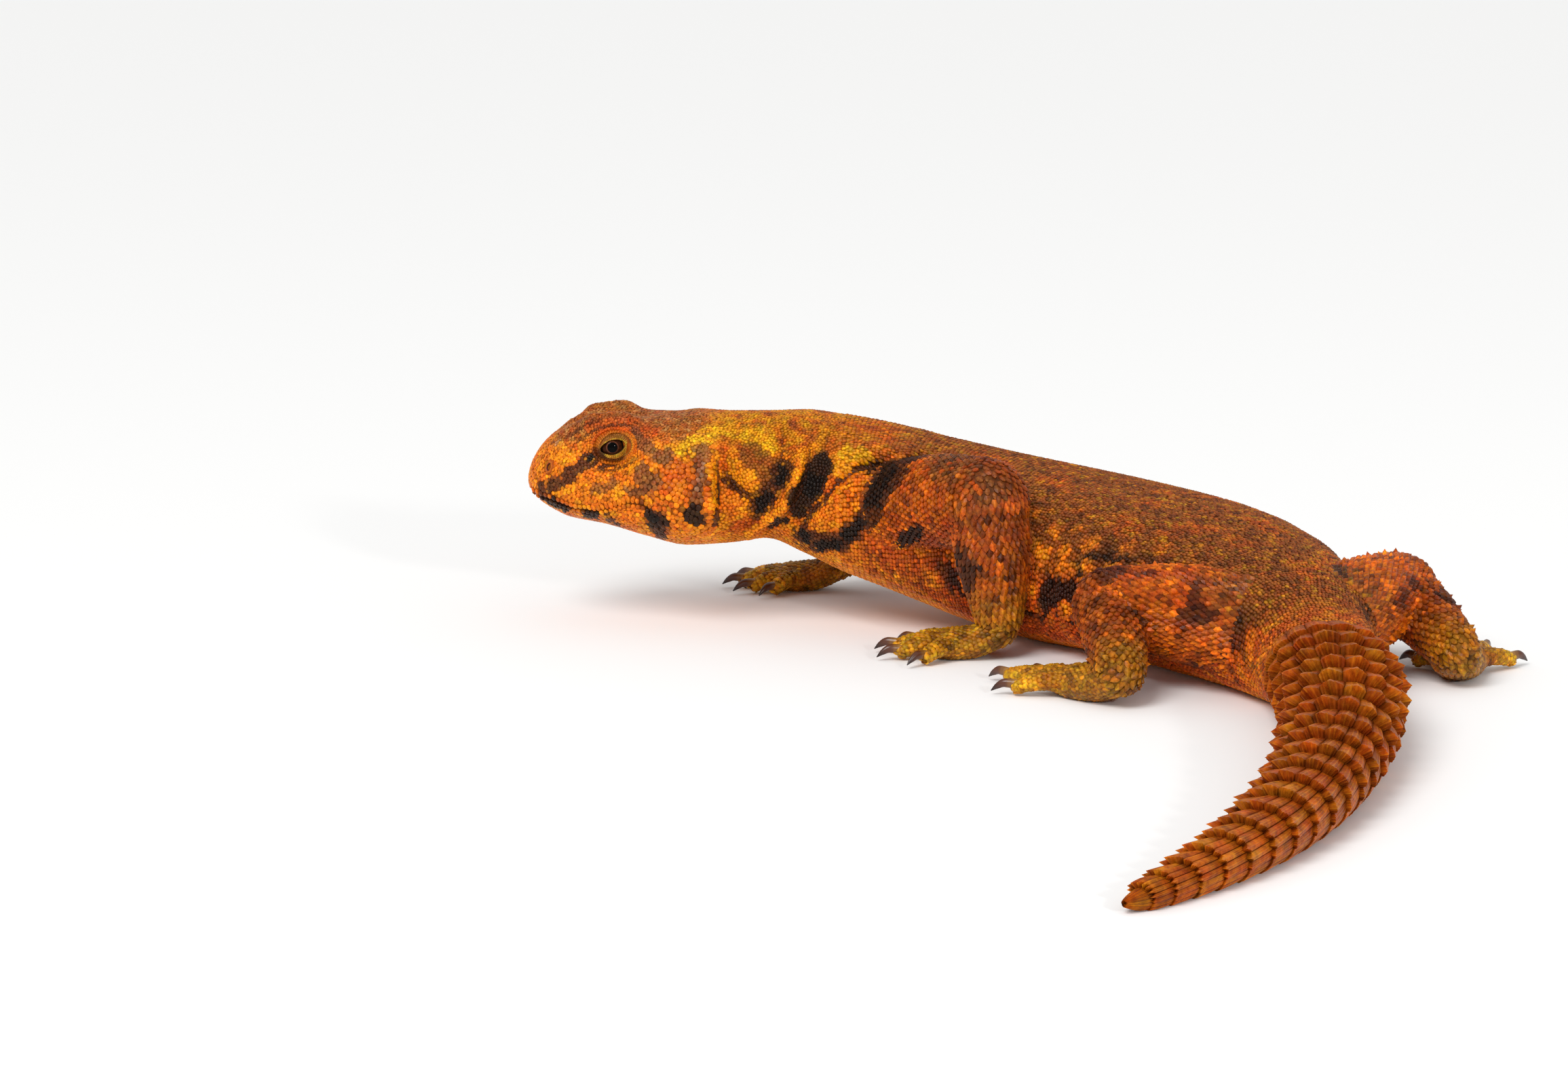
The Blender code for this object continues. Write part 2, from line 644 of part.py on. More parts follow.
def paint(nodes):
    for node in nodes:
        slot = finish_of(node.name)
        material = bpy.data.materials.get(slot) or bpy.data.materials.new(slot)
        material.use_nodes = True
        shader = material.node_tree.nodes["Principled BSDF"]
        shader.inputs["Base Color"].default_value = (*SKINS[slot], 1)
        shader.inputs["Roughness"].default_value = 0.12 if slot == "eye" else 0.6
        node.data.materials.clear()
        node.data.materials.append(material)
        node.data.shade_smooth()


def centre_on_floor(nodes):
    """Moves the whole lizard so that its box stands centred on the origin."""
    corners = np.array([vertex.co for node in nodes for vertex in node.data.vertices])
    low, high = corners.min(0), corners.max(0)
    for node in nodes:
        for vertex in node.data.vertices:
            vertex.co.x -= (low[0] + high[0]) / 2
            vertex.co.y -= (low[1] + high[1]) / 2
            vertex.co.z -= low[2]


def main():
    for old in list(bpy.data.objects):
        bpy.data.objects.remove(old)
    nodes = make_head() + make_eyes() + make_trunk() + make_tail() + make_legs()
    paint(nodes)
    centre_on_floor(nodes)


main()
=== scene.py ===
"""Skin, scales, tail scutes, eyes and claws of a spiny-tailed lizard, with its floor, light and camera."""

import json
import math

import bmesh
import bpy
import numpy as np
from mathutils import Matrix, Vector
from mathutils import noise as field
from mathutils.bvhtree import BVHTree
from mathutils.kdtree import KDTree

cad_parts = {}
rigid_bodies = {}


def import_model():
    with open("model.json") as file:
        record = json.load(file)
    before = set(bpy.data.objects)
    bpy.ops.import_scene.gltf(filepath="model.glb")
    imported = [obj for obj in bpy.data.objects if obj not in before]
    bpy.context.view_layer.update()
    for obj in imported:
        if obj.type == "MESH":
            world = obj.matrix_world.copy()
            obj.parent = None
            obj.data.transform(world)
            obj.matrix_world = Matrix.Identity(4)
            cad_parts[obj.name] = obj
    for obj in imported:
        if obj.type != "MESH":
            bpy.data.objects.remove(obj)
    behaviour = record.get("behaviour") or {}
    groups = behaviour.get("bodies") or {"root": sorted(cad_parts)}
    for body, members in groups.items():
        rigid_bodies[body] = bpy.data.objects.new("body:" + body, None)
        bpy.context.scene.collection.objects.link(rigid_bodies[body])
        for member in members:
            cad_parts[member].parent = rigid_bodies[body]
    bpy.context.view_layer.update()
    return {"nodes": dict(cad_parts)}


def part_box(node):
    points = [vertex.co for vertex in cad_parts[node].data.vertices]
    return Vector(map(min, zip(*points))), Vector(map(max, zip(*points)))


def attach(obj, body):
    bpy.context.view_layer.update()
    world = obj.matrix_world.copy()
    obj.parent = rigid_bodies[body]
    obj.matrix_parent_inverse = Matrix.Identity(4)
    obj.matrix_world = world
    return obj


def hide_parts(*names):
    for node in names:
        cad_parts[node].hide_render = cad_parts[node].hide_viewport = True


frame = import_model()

random = np.random.default_rng(11)

# Shape, in millimetres along the spine from the snout. These are the values of the solids, but for the mouth line and
# the forms of brow and lips, which are set a little closer here.

TAIL_START = 200
TAIL_END = 348
SNOUT_ROUND = 9
HEADING = (
    (0, 0), (45, 0), (75, -9), (100, -23), (130, -42), (165, -64), (198, -82), (240, -98), (290, -112), (348, -136),
)
HALF_WIDTH = (
    (0, 8), (5, 9), (10, 10.2), (17, 12.2), (25, 14.8), (32, 16.8), (38, 16.2), (45, 14.4), (52, 15), (60, 16.8),
    (72, 19), (85, 22), (100, 24.5), (120, 26.5), (140, 27), (160, 25), (176, 20), (188, 15.5), (200, 12), (215, 11.4),
    (240, 10.2), (280, 7.8), (320, 5), (348, 2),
)
BACK = (
    (0, 38.8), (5, 40.2), (9, 41.4), (13, 42.6), (19, 43.5), (25, 43.9), (31, 43.7), (36, 44.3), (42, 43.9),
    (50, 43.9), (58, 44.1), (66, 43.1), (75, 41.5), (84, 39.3), (100, 36), (115, 33.8), (130, 32.2), (150, 30.4),
    (170, 27.4), (188, 24), (200, 20.5), (215, 18), (240, 15.6), (280, 11.8), (320, 7.6), (348, 3.6),
)
MIDDLE = (
    (0, 29), (10, 29), (25, 27.8), (34, 27.4), (42, 28.5), (50, 29.5), (58, 28), (66, 26), (75, 23.5), (84, 21.5),
    (100, 18), (115, 16.5), (130, 15.5), (150, 14.5), (170, 12.5), (200, 9), (240, 7), (280, 5.4), (320, 3.6),
    (348, 1.8),
)
BELLY = (
    (0, 23.9), (5, 22.7), (10, 21.3), (16, 20.4), (25, 17.9), (34, 15.8), (42, 16), (50, 17), (58, 14), (66, 10.4),
    (75, 7.4), (84, 4.6), (95, 1.6), (104, 0), (120, -1.2), (190, -1.2), (200, -0.6), (215, -0.4), (348, -0.2),
)
SQUARENESS = (
    (0, 2.1), (10, 2.4), (18, 2.8), (26, 2.6), (34, 2.3), (45, 2.1), (80, 2.2), (140, 2.4), (200, 2.2), (348, 2.1),
)
EYE_AT = (17.8, 7.9, 37.6)
EYE_RADIUS = 3.3
LID_TILT = 12
NOSTRIL_AT = (4.3, 33.4)
MOUTH_LINE = ((0.9, 27.1), (5.2, 26.4), (10.3, 24.8), (14.7, 24.6), (18, 25.6), (21.2, 26.8), (24, 26.6), (27, 25.2))
# Forms of the head and neck: places from the snout, off the middle and above the floor, spread and height
FORMS = (
    (((13.6, 6.8, 41.7), (16, 7.4, 42.2), (20.1, 7.8, 42.2)), 2.8, 3.45),
    (((16, 6.6, 42.4), (17.8, 6.8, 42.5)), 1.9, 0.5),
    (((9.2, 4.6, 40.7), (11, 5.1, 41.2)), 2.4, 1.4),
    (((6, 5.8, 37.4), (12, 8.2, 39.8)), 1.6, 0.6),
    (((10, 0, 42.6), (24, 0, 43.4)), 3.2, -1.2),
    (((17.8, 11.6, 36.8),), 4.2, -1.5),
    (((30, 16, 29.5), (34, 16.6, 26)), 6.5, 1.4),
    (((4.3, 7.6, 33.4),), 1.9, 0.7),
    (((2, 3.5, 29.1), (5.2, 8, 28), (10.3, 9.6, 26.4), (18, 12, 27.2)), 1.3, 0.6),
    (((2, 3.5, 24.6), (5.2, 7.6, 24.1), (10.3, 9, 22.6), (18, 11.6, 23.3)), 1.3, 0.5),
    (((44, 13.8, 38), (46, 14.2, 32), (45, 14, 24)), 1.9, 1.1),
    (((59, 15.6, 37), (56, 15.4, 29), (51, 14.4, 21)), 2.0, 1.6),
    (((62, 16.4, 35), (59, 16, 27), (54, 14, 19)), 1.8, -1.2),
)
WHORL_LENGTH = ((200, 6.4), (215, 7), (240, 8), (300, 7.2), (348, 5))
SPINE_BACK = ((200, 1.5), (225, 2.2), (300, 1.9), (348, 1.0))
SPINE_OUT = ((200, 1.8), (225, 2.7), (300, 1.9), (348, 0.8))
# Stations past which these forms, and the folds of the side view, have ended
FORMS_END, FOLDS_END = 72, 100
SHOULDER_AT = 76
HIP_AT = 186
FORELEG_LEFT = {"root": (-3, 12, 26), "knee": (-24, 32.5, 31.5), "ankle": (-27, 35, 8.5), "foot_turn": 0}
FORELEG_RIGHT = {"root": (4, 12, 25), "knee": (-4, 30, 23), "ankle": (15, 27, 8), "foot_turn": -2}
HINDLEG_LEFT = {"root": (2, 9, 13), "knee": (20, 31, 15), "ankle": (-3, 36, 7), "foot_turn": 22}
HINDLEG_RIGHT = {"root": (2, 9, 13), "knee": (20, 30, 15), "ankle": (-3, 33, 7), "foot_turn": 24}
UPPER_ARM = (9.4, 9.4, 8.8)
FOREARM = (7.9, 7.4, 4.8)
THIGH = (9.5, 9.2, 7.6)
SHIN = (6.8, 6.2, 4.6)
FORE_DIGITS = ((52, 7), (27, 9.5), (3, 11), (-20, 10.5), (-50, 8))
HIND_DIGITS = ((48, 7), (26, 10), (6, 13), (-14, 16), (-44, 10.5))
PALM = {"length": 9, "half_width": 5.4, "half_height": 2.7}
SOLE = {"length": 12, "half_width": 5.6, "half_height": 2.9}
DIGIT_RADII = (2.0, 1.9, 1.75, 1.45)
CLAW_LENGTH = 4.6
CLAW_RADIUS = 0.85

# Depth that the skin lies inside the solids, which the coat of scales fills
COAT = 0.35
# Most triangles in one coat piece
PIECE_LIMIT = 190000
# Side of the skin's small cubes when it is made one, in metres
SKIN_VOXEL = 0.00075
# Side of a scale's patch on the unwrap, and the length of the body that fills the unwrap's width
PATCH = 0.003
UNWRAP_LENGTH = 350

# Creases and folds of the skin on a side view: places from the snout and above the floor, spread and height
SIDE_FOLDS = (
    (((41.6, 43.3), (46, 39.5), (51, 34.5)), 1.7, 1.0),
    (((40.9, 38.9), (43.4, 36), (47.1, 32.3)), 1.0, -1.8),
    (((57.4, 44), (56.7, 39.6), (54.5, 33.1), (51.6, 29), (46, 25.4)), 1.2, 1.1),
    (((58.9, 43.3), (58.4, 38.9), (56, 32.3), (53, 28.7), (50, 26.9)), 0.8, -1.9),
    (((69.5, 39.6), (72.2, 40.6), (78.8, 40.4), (86, 43), (89, 43.6)), 1.0, -2.2),
    (((68, 42.6), (72, 43.6), (78, 43), (87, 45.8)), 1.6, 1.0),
    (((71.4, 40.3), (67.1, 38), (63.9, 35.1), (60.3, 30.9), (58, 28)), 0.75, -2.2),
    (((70.6, 37.4), (66.6, 35.4), (63, 31.6), (61, 28.6)), 1.3, 0.8),
    (((63, 38), (68, 38.6)), 1.8, 0.6),
    (((39.6, 41), (39.8, 37)), 0.8, -0.8),
    (((39.8, 36.4), (39.9, 31.6)), 0.75, -1.5),
    (((38.1, 42.5), (38.3, 30.5)), 0.8, 0.6),
    (((17.8, 43.4),), 2.7, -2.4),
    (((8, 49.3), (11, 51.3), (16, 53.2), (22, 53)), 2.2, 0.75),
    (((9, 49), (11, 50.6)), 1.2, 0.9),
    (((8.1, 45.8), (12.5, 48.6), (16.1, 50.1), (21.2, 50.9)), 0.8, -0.8),
    (((10.3, 44.9), (14.7, 47.8), (19.1, 48.5), (22, 48.2)), 0.8, -0.9),
    (((12, 46.6), (16, 49.1), (21, 49.6), (25.5, 49)), 1.0, 0.6),
    (((14.2, 39.2), (17.5, 38.8), (20, 39.5), (23, 41.6)), 0.8, -0.9),
    (((26, 36), (29, 34), (31.5, 31)), 1.6, 0.5),
    (((22.5, 33.6), (25, 31), (28, 29.6)), 1.0, -0.8),
    (((33, 43.4), (35.8, 38.5), (36, 33)), 1.0, -0.6),
    (((49, 47), (51, 43), (50, 40)), 1.0, 0.6),
    (((53, 47), (53.5, 43), (51.5, 39)), 0.8, -0.7),
    (((63, 46.5), (62, 43.5)), 0.9, -0.5),
)
# The side view that its places were measured on: its camera's tilt and distance, and the middle that it looks at
SIDE_TILT = math.radians(11)
SIDE_DISTANCE = 850
SIDE_MIDDLE = 53.6
SIDE_LEVEL = 16.0
SIDE_ZERO = 24.0


def smooth(knots, x):
    """Monotone cubic through the knots."""
    kx, ky = np.array(knots, float).T
    step, rise = np.diff(kx), np.diff(ky)
    slope = rise / step
    m = np.zeros(len(kx))
    m[0], m[-1] = slope[0], slope[-1]
    a, b = slope[:-1], slope[1:]
    w1, w2 = 2 * step[1:] + step[:-1], step[1:] + 2 * step[:-1]
    same = a * b > 0
    m[1:-1][same] = (w1 + w2)[same] / (w1[same] / a[same] + w2[same] / b[same])
    x = np.clip(np.asarray(x, float), kx[0], kx[-1])
    i = np.clip(np.searchsorted(kx, x) - 1, 0, len(kx) - 2)
    t = (x - kx[i]) / step[i]
    h = step[i]
    return (
        (1 + 2 * t) * (1 - t) ** 2 * ky[i]
        + t * (1 - t) ** 2 * h * m[i]
        + t * t * (3 - 2 * t) * ky[i + 1]
        + t * t * (t - 1) * h * m[i + 1]
    )


def unit(v):
    """Vectors made one long."""
    return v / np.maximum(np.linalg.norm(v, axis=-1, keepdims=True), 1e-9)


def step_up(x, low, high):
    """Soft step from 0 at low to 1 at high."""
    t = np.clip((x - low) / (high - low), 0, 1)
    return t * t * (3 - 2 * t)


def near_run(points, run):
    """Distance of each point from a run of points joined by straight lines."""
    run = np.array(run, float)
    if len(run) == 1:
        return np.linalg.norm(points - run[0], axis=1)
    best = np.full(len(points), np.inf)
    for a, b in zip(run[:-1], run[1:]):
        along = np.clip((points - a) @ (b - a) / np.dot(b - a, b - a), 0, 1)
        best = np.minimum(best, np.linalg.norm(points - a - along[:, None] * (b - a), axis=1))
    return best


def mottle(points, size, seed=0.0):
    """Smooth random field from -1 to 1 with blobs of this size."""
    return np.array([field.noise(Vector((p[0] / size + seed, p[1] / size, p[2] / size - seed))) for p in points])


def bell(x, width):
    """1 where x is 0, and close to nothing past twice the width."""
    return np.exp(-((x / width) ** 2))


def lengths_along(points):
    """Length along a run of points, from 0 at its first."""
    return np.concatenate([[0], np.cumsum(np.linalg.norm(np.diff(points, axis=0), axis=1))])


def round_angles(count):
    return math.tau * np.arange(count) / count


def folded(angle):
    """Angle off the back, from 0 to pi on both sides alike."""
    return np.abs((angle + math.pi) % math.tau - math.pi)


def kd_tree(points):
    made = KDTree(len(points))
    for i, p in enumerate(points):
        made.insert(p, i)
    made.balance()
    return made


SPINE_S = np.arange(0, TAIL_END + 20.5, 0.5)
SPINE_TURN = np.radians(smooth(HEADING, SPINE_S))
SPINE_X, SPINE_Y = (
    np.concatenate([[0], np.cumsum(part((SPINE_TURN[1:] + SPINE_TURN[:-1]) / 2) * 0.5)]) for part in (np.cos, np.sin)
)


def on_spine(s):
    """Place, tailward direction and rightward direction of the spine for an array of stations."""
    s = np.atleast_1d(np.asarray(s, float))
    turn = np.radians(smooth(HEADING, s))
    zero = np.zeros_like(s)
    at = np.column_stack([np.interp(s, SPINE_S, SPINE_X), np.interp(s, SPINE_S, SPINE_Y), zero])
    return at, np.column_stack([np.cos(turn), np.sin(turn), zero]), np.column_stack([-np.sin(turn), np.cos(turn), zero])


def side_view(points):
    """Places of points on the side view, both sides of the body alike."""
    up = (points[:, 2] - SIDE_LEVEL) * math.cos(SIDE_TILT) - np.abs(points[:, 1]) * math.sin(SIDE_TILT)
    near = SIDE_DISTANCE / (SIDE_DISTANCE - np.abs(points[:, 1]))
    return np.column_stack([SIDE_MIDDLE + (points[:, 0] - SIDE_MIDDLE) * near, SIDE_ZERO + up * near])


def cross_section(s):
    """Half width, height over its middle, depth under it, squareness and middle of the plain body."""
    share = np.sqrt(np.clip(1 - (1 - np.minimum(s, SNOUT_ROUND) / SNOUT_ROUND) ** 2, 0, 1))
    middle = smooth(MIDDLE, s)
    up, down = (smooth(BACK, s) - middle) * share, (middle - smooth(BELLY, s)) * share
    return smooth(HALF_WIDTH, s) * share, up, down, smooth(SQUARENESS, s), middle


def body_points(s, angle, grow=0.0):
    """Points of the body's surface. The angle runs from the back towards the right side."""
    s, angle = np.broadcast_arrays(np.atleast_1d(np.asarray(s, float)), np.atleast_1d(np.asarray(angle, float)))
    wide, up, down, square, middle = cross_section(s)
    si, co = np.sin(angle), np.cos(angle)
    side = (wide + grow) * np.sign(si) * np.abs(si) ** (2 / square)
    rise = (np.where(co > 0, up, down) + grow) * np.sign(co) * np.abs(co) ** (2 / square)
    at, _, right = on_spine(s)

    def placed(side, rise):
        points = at + right * side[:, None]
        points[:, 2] = middle + rise
        return points

    lift = np.zeros(len(s))
    front, fore = s < FORMS_END, s < FOLDS_END
    flat = np.column_stack([s, np.abs(side), middle + rise])[front]
    for run, spread, amount in FORMS:
        lift[front] += amount * bell(near_run(flat, run), spread)
    view = side_view(placed(side, rise)[fore])
    facing = step_up(np.abs(si[fore]), 0.25, 0.6)
    for run, spread, amount in SIDE_FOLDS:
        lift[fore] += amount * facing * bell(near_run(view, run), spread)
    # Slack folds across the trunk, deeper on the side that the body bends to
    wrinkle = np.sin(math.tau * s / 8.5 + 2.4 * np.sin(s / 17)) * step_up(s, 96, 112) * step_up(-s, -192, -170)
    lift += 0.42 * wrinkle * np.where(si < 0, 1.0, 0.3) * step_up(np.abs(si), 0.45, 0.8)
    swell = 1 + lift / np.maximum(np.hypot(side, rise), 1e-6)
    return placed(side * swell, rise * swell)


def flank_at(s, height):
    """How far out the side of the plain body is at this height."""
    wide, up, down, square, middle = cross_section(s)
    reach = np.where(height > middle, up, down)
    return wide * (1 - np.clip(np.abs(height - middle) / reach, 0, 1) ** square) ** (1 / square)


def mouth_line_points():
    line = np.array(MOUTH_LINE)
    return np.column_stack([line[:, 0], -flank_at(line[:, 0], line[:, 1]), line[:, 1]])


def curved(points, count):
    """This many points on a smooth curve through a few."""
    points = np.array(points, float)
    where = np.linspace(0, len(points) - 1, count)
    t = np.arange(len(points))
    return np.column_stack([smooth(list(zip(t, points[:, c])), where) for c in range(3)])


class Limb:
    """Tube round a smooth path, with a radius at each end and between. flat narrows its height."""

    def __init__(self, kind, side, leg, path, radii, flat=1.0, count=25, span=(0.0, 1.0)):
        self.kind, self.side, self.leg, self.flat, self.span = kind, side, leg, flat, span
        self.path = curved(path, count)
        self.radii = np.interp(np.linspace(0, 1, count), np.linspace(0, 1, len(radii)), radii)
        self.run = lengths_along(self.path)
        self.tangents = unit(np.gradient(self.path, axis=0))
        start = np.cross(self.tangents[0], (0, 0, 1.0))
        if np.linalg.norm(start) < 0.3:
            start = np.array([0, 1.0, 0])
        across = [start / np.linalg.norm(start)]
        for tangent in self.tangents[1:]:
            nxt = across[-1] - tangent * np.dot(across[-1], tangent)
            across.append(nxt / np.linalg.norm(nxt))
        self.across = np.array(across)
        self.over = np.cross(self.across, self.tangents)

    def points(self, along, angle, grow=0.0):
        """Points at lengths along the path and angles round it."""
        def pick(rows):
            return np.column_stack([np.interp(along, self.run, rows[:, c]) for c in range(3)])
        radius = np.interp(along, self.run, self.radii) + grow
        ring = np.sin(angle)[:, None] * pick(self.across) + self.flat * np.cos(angle)[:, None] * pick(self.over)
        return pick(self.path) + radius[:, None] * ring

    def mesh(self, sides=40, step=0.8, grow=0.0):
        """Closed mesh with rounded ends, as points and faces."""
        count = max(6, int(self.run[-1] / step))
        angle = round_angles(sides)
        rings = [self.points(np.full(sides, u), angle, grow) for u in np.linspace(0, self.run[-1], count)]
        caps = []
        for end, way in ((0, -1), (-1, 1)):
            radius = self.radii[end] + grow
            cap = []
            for lat in (0.35, 0.7, 1.05, 1.35):
                ring = np.sin(angle)[:, None] * self.across[end] + self.flat * np.cos(angle)[:, None] * self.over[end]
                centre = self.path[end] + self.tangents[end] * way * radius * 0.95 * math.sin(lat)
                cap.append(centre + radius * math.cos(lat) * ring)
            caps.append(cap)
        rings = caps[0][::-1] + rings + caps[1]
        poles = [
            self.path[0] - self.tangents[0] * (self.radii[0] + grow) * 0.95,
            self.path[-1] + self.tangents[-1] * (self.radii[-1] + grow) * 0.95,
        ]
        return tube_mesh(rings, poles)


def strip_faces(a, b, count):
    """Faces between two rings of this many points, which start at points a and b."""
    return [(a + k, a + (k + 1) % count, b + (k + 1) % count, b + k) for k in range(count)]


def shifted(faces, offset):
    return [tuple(offset + v for v in face) for face in faces]


def tube_mesh(rings, poles):
    """Points and faces of a closed tube through rings, with a pole at each end."""
    count = len(rings[0])
    last = (len(rings) - 1) * count
    faces = [face for a in range(0, last, count) for face in strip_faces(a, a + count, count)]
    faces += [(k, last + count, (k + 1) % count) for k in range(count)]
    faces += [(last + k, last + (k + 1) % count, last + count + 1) for k in range(count)]
    return np.vstack([*rings, *[p[None] for p in poles]]), faces


def joint_place(girdle, place, side):
    """Point from its distance forward of the girdle, out from the middle and above the floor."""
    at, tailwards, right = (v[0] for v in on_spine(girdle))
    forward, outward, height = place
    return at - tailwards * forward + right * side * outward + np.array([0, 0, height])


def foot_parts(girdle, ankle, side, turn, digits, palm, leg):
    """Palm and digits, with the path of each claw."""
    _, tailwards, right = (v[0] for v in on_spine(girdle))
    out = right * side
    direction = -tailwards * math.cos(math.radians(turn)) + out * math.sin(math.radians(turn))
    inward = np.array([direction[1], -direction[0], 0.0])
    if np.dot(inward, out) > 0:
        inward = -inward
    ground = ankle * (1, 1, 0)
    heel = ground + (0, 0, 5.0)
    knuckles = ground + direction * palm["length"] + (0, 0, palm["half_height"] - 0.2)
    flat = palm["half_height"] / palm["half_width"] * 1.25
    path = [heel, (heel + knuckles) / 2 - (0, 0, 0.4), knuckles]
    parts = [Limb("palm", side, leg, path, (4.2, palm["half_width"] * 0.92, palm["half_width"]), flat, 13)]
    claws = []
    for turn_by, length in digits:
        angle = math.radians(turn_by)
        way = direction * math.cos(angle) + inward * math.sin(angle)
        root = knuckles - direction * 2.2 + way * 2.6 + inward * math.sin(angle) * 1.2
        root[2] = 2.4
        tip = root + way * length
        reach = way * length
        run = [root, root + reach * 0.4 + (0, 0, 0.7), root + reach * 0.75 + (0, 0, 0.2), tip - (0, 0, 0.7)]
        parts.append(Limb("digit", side, leg, run, DIGIT_RADII, 1.0, 17))
        nail = tip + way * 0.4
        hook = way * CLAW_LENGTH
        claws.append([
            nail - way * 0.8 - (0, 0, 0.1), nail + hook * 0.4 + (0, 0, 0.1), nail + hook * 0.75 - (0, 0, 0.6),
            nail + hook - (0, 0, 1.5),
        ])
    return parts, claws


def leg_parts(girdle, plan, side, upper, lower, digits, palm, leg):
    root, knee, ankle = (joint_place(girdle, plan[key], side) for key in ("root", "knee", "ankle"))
    parts = [
        Limb("upper", side, leg, [root, (root + knee) / 2 + (0, 0, 0.8), knee], upper, span=(0.0, 0.45)),
        Limb("lower", side, leg, [knee, (knee + ankle) / 2, ankle], lower, span=(0.45, 0.9)),
    ]
    foot, claws = foot_parts(girdle, ankle, side, plan["foot_turn"], digits, palm, leg)
    return parts + foot, claws


LIMBS, CLAWS = [], []
for girdle, plans, sizes, leg in (
    (SHOULDER_AT, (FORELEG_LEFT, FORELEG_RIGHT), (UPPER_ARM, FOREARM, FORE_DIGITS, PALM), "fore"),
    (HIP_AT, (HINDLEG_LEFT, HINDLEG_RIGHT), (THIGH, SHIN, HIND_DIGITS, SOLE), "hind"),
):
    for side, plan in zip((-1, 1), plans):
        made, nails = leg_parts(girdle, plan, side, *sizes, leg)
        LIMBS += made
        CLAWS += nails
# Strip of the unwrap that each leg takes
STRIPS = {("fore", -1): 0, ("fore", 1): 1, ("hind", -1): 2, ("hind", 1): 3}

# Shift from the spine's own frame to the frame of the solids
low, high = (np.array(corner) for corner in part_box("eye_left"))
SHIFT = (low + high) / 2 - np.array([EYE_AT[0], -EYE_AT[1], EYE_AT[2]]) * 0.001


def metres(points):
    """Places in the frame of the solids."""
    return np.asarray(points, float) * 0.001 + SHIFT


def put(name, data):
    """New object in the scene."""
    made = bpy.data.objects.new(name, data)
    bpy.context.scene.collection.objects.link(made)
    return made


def mesh_piece(name, points, faces, finish=None, smooth_faces=True, raw=False):
    """Object from points in millimetres and faces, with its normals turned outwards."""
    mesh = bpy.data.meshes.new(name)
    mesh.from_pydata((points if raw else metres(points)).tolist(), [], faces)
    shape = bmesh.new()
    shape.from_mesh(mesh)
    bmesh.ops.recalc_face_normals(shape, faces=shape.faces)
    shape.to_mesh(mesh)
    shape.free()
    if smooth_faces:
        mesh.shade_smooth()
    if finish:
        mesh.materials.append(finish)
    return put(name, mesh)


def read(data, key, size=1, kind=np.float32):
    """The number or vector of each entry of a mesh's list."""
    flat = np.empty(len(data) * size, kind)
    data.foreach_get(key, flat)
    return flat.reshape(-1, size) if size > 1 else flat


def co_of(mesh):
    return read(mesh.vertices, "co", 3).astype(float)


def write(data, key, values):
    data.foreach_set(key, np.ascontiguousarray(values, np.float32).ravel())


def give(mesh, name, kind, values):
    """Stores a number, vector or colour at each point of a mesh."""
    key = {"FLOAT": "value", "FLOAT_VECTOR": "vector", "FLOAT_COLOR": "color"}[kind]
    write(mesh.attributes.new(name, kind, "POINT").data, key, values)


def give_colour(mesh, colours):
    give(mesh, "colour", "FLOAT_COLOR", np.column_stack([colours, np.ones(len(colours))]))


def triangles_in(mesh):
    return sum(len(p.vertices) - 2 for p in mesh.polygons)


# Colours of the living skin

def tone(code):
    """Linear colour of an sRGB hex value."""
    parts = np.array([int(code[i : i + 2], 16) for i in (1, 3, 5)]) / 255
    return np.where(parts <= 0.04045, parts / 12.92, ((parts + 0.055) / 1.055) ** 2.4)


ORANGE = tone("#CE6A0B")
AMBER = tone("#E2900C")
RED_ORANGE = tone("#B63C08")
YELLOW = tone("#E0AC10")
OCHRE = tone("#BC8408")
BROWN = tone("#80441A")
DARK_BROWN = tone("#482410")
GREY_BROWN = tone("#6C4228")
BLACK = tone("#180E09")
RUST = tone("#A54A0C")
EMBER = tone("#8E2E08")
UMBER = tone("#6A3210")
SAND = tone("#B27A14")
SAND_BROWN = tone("#8A5A12")
TAIL_RUST = tone("#A84A0C")
TAIL_AMBER = tone("#CB7A16")

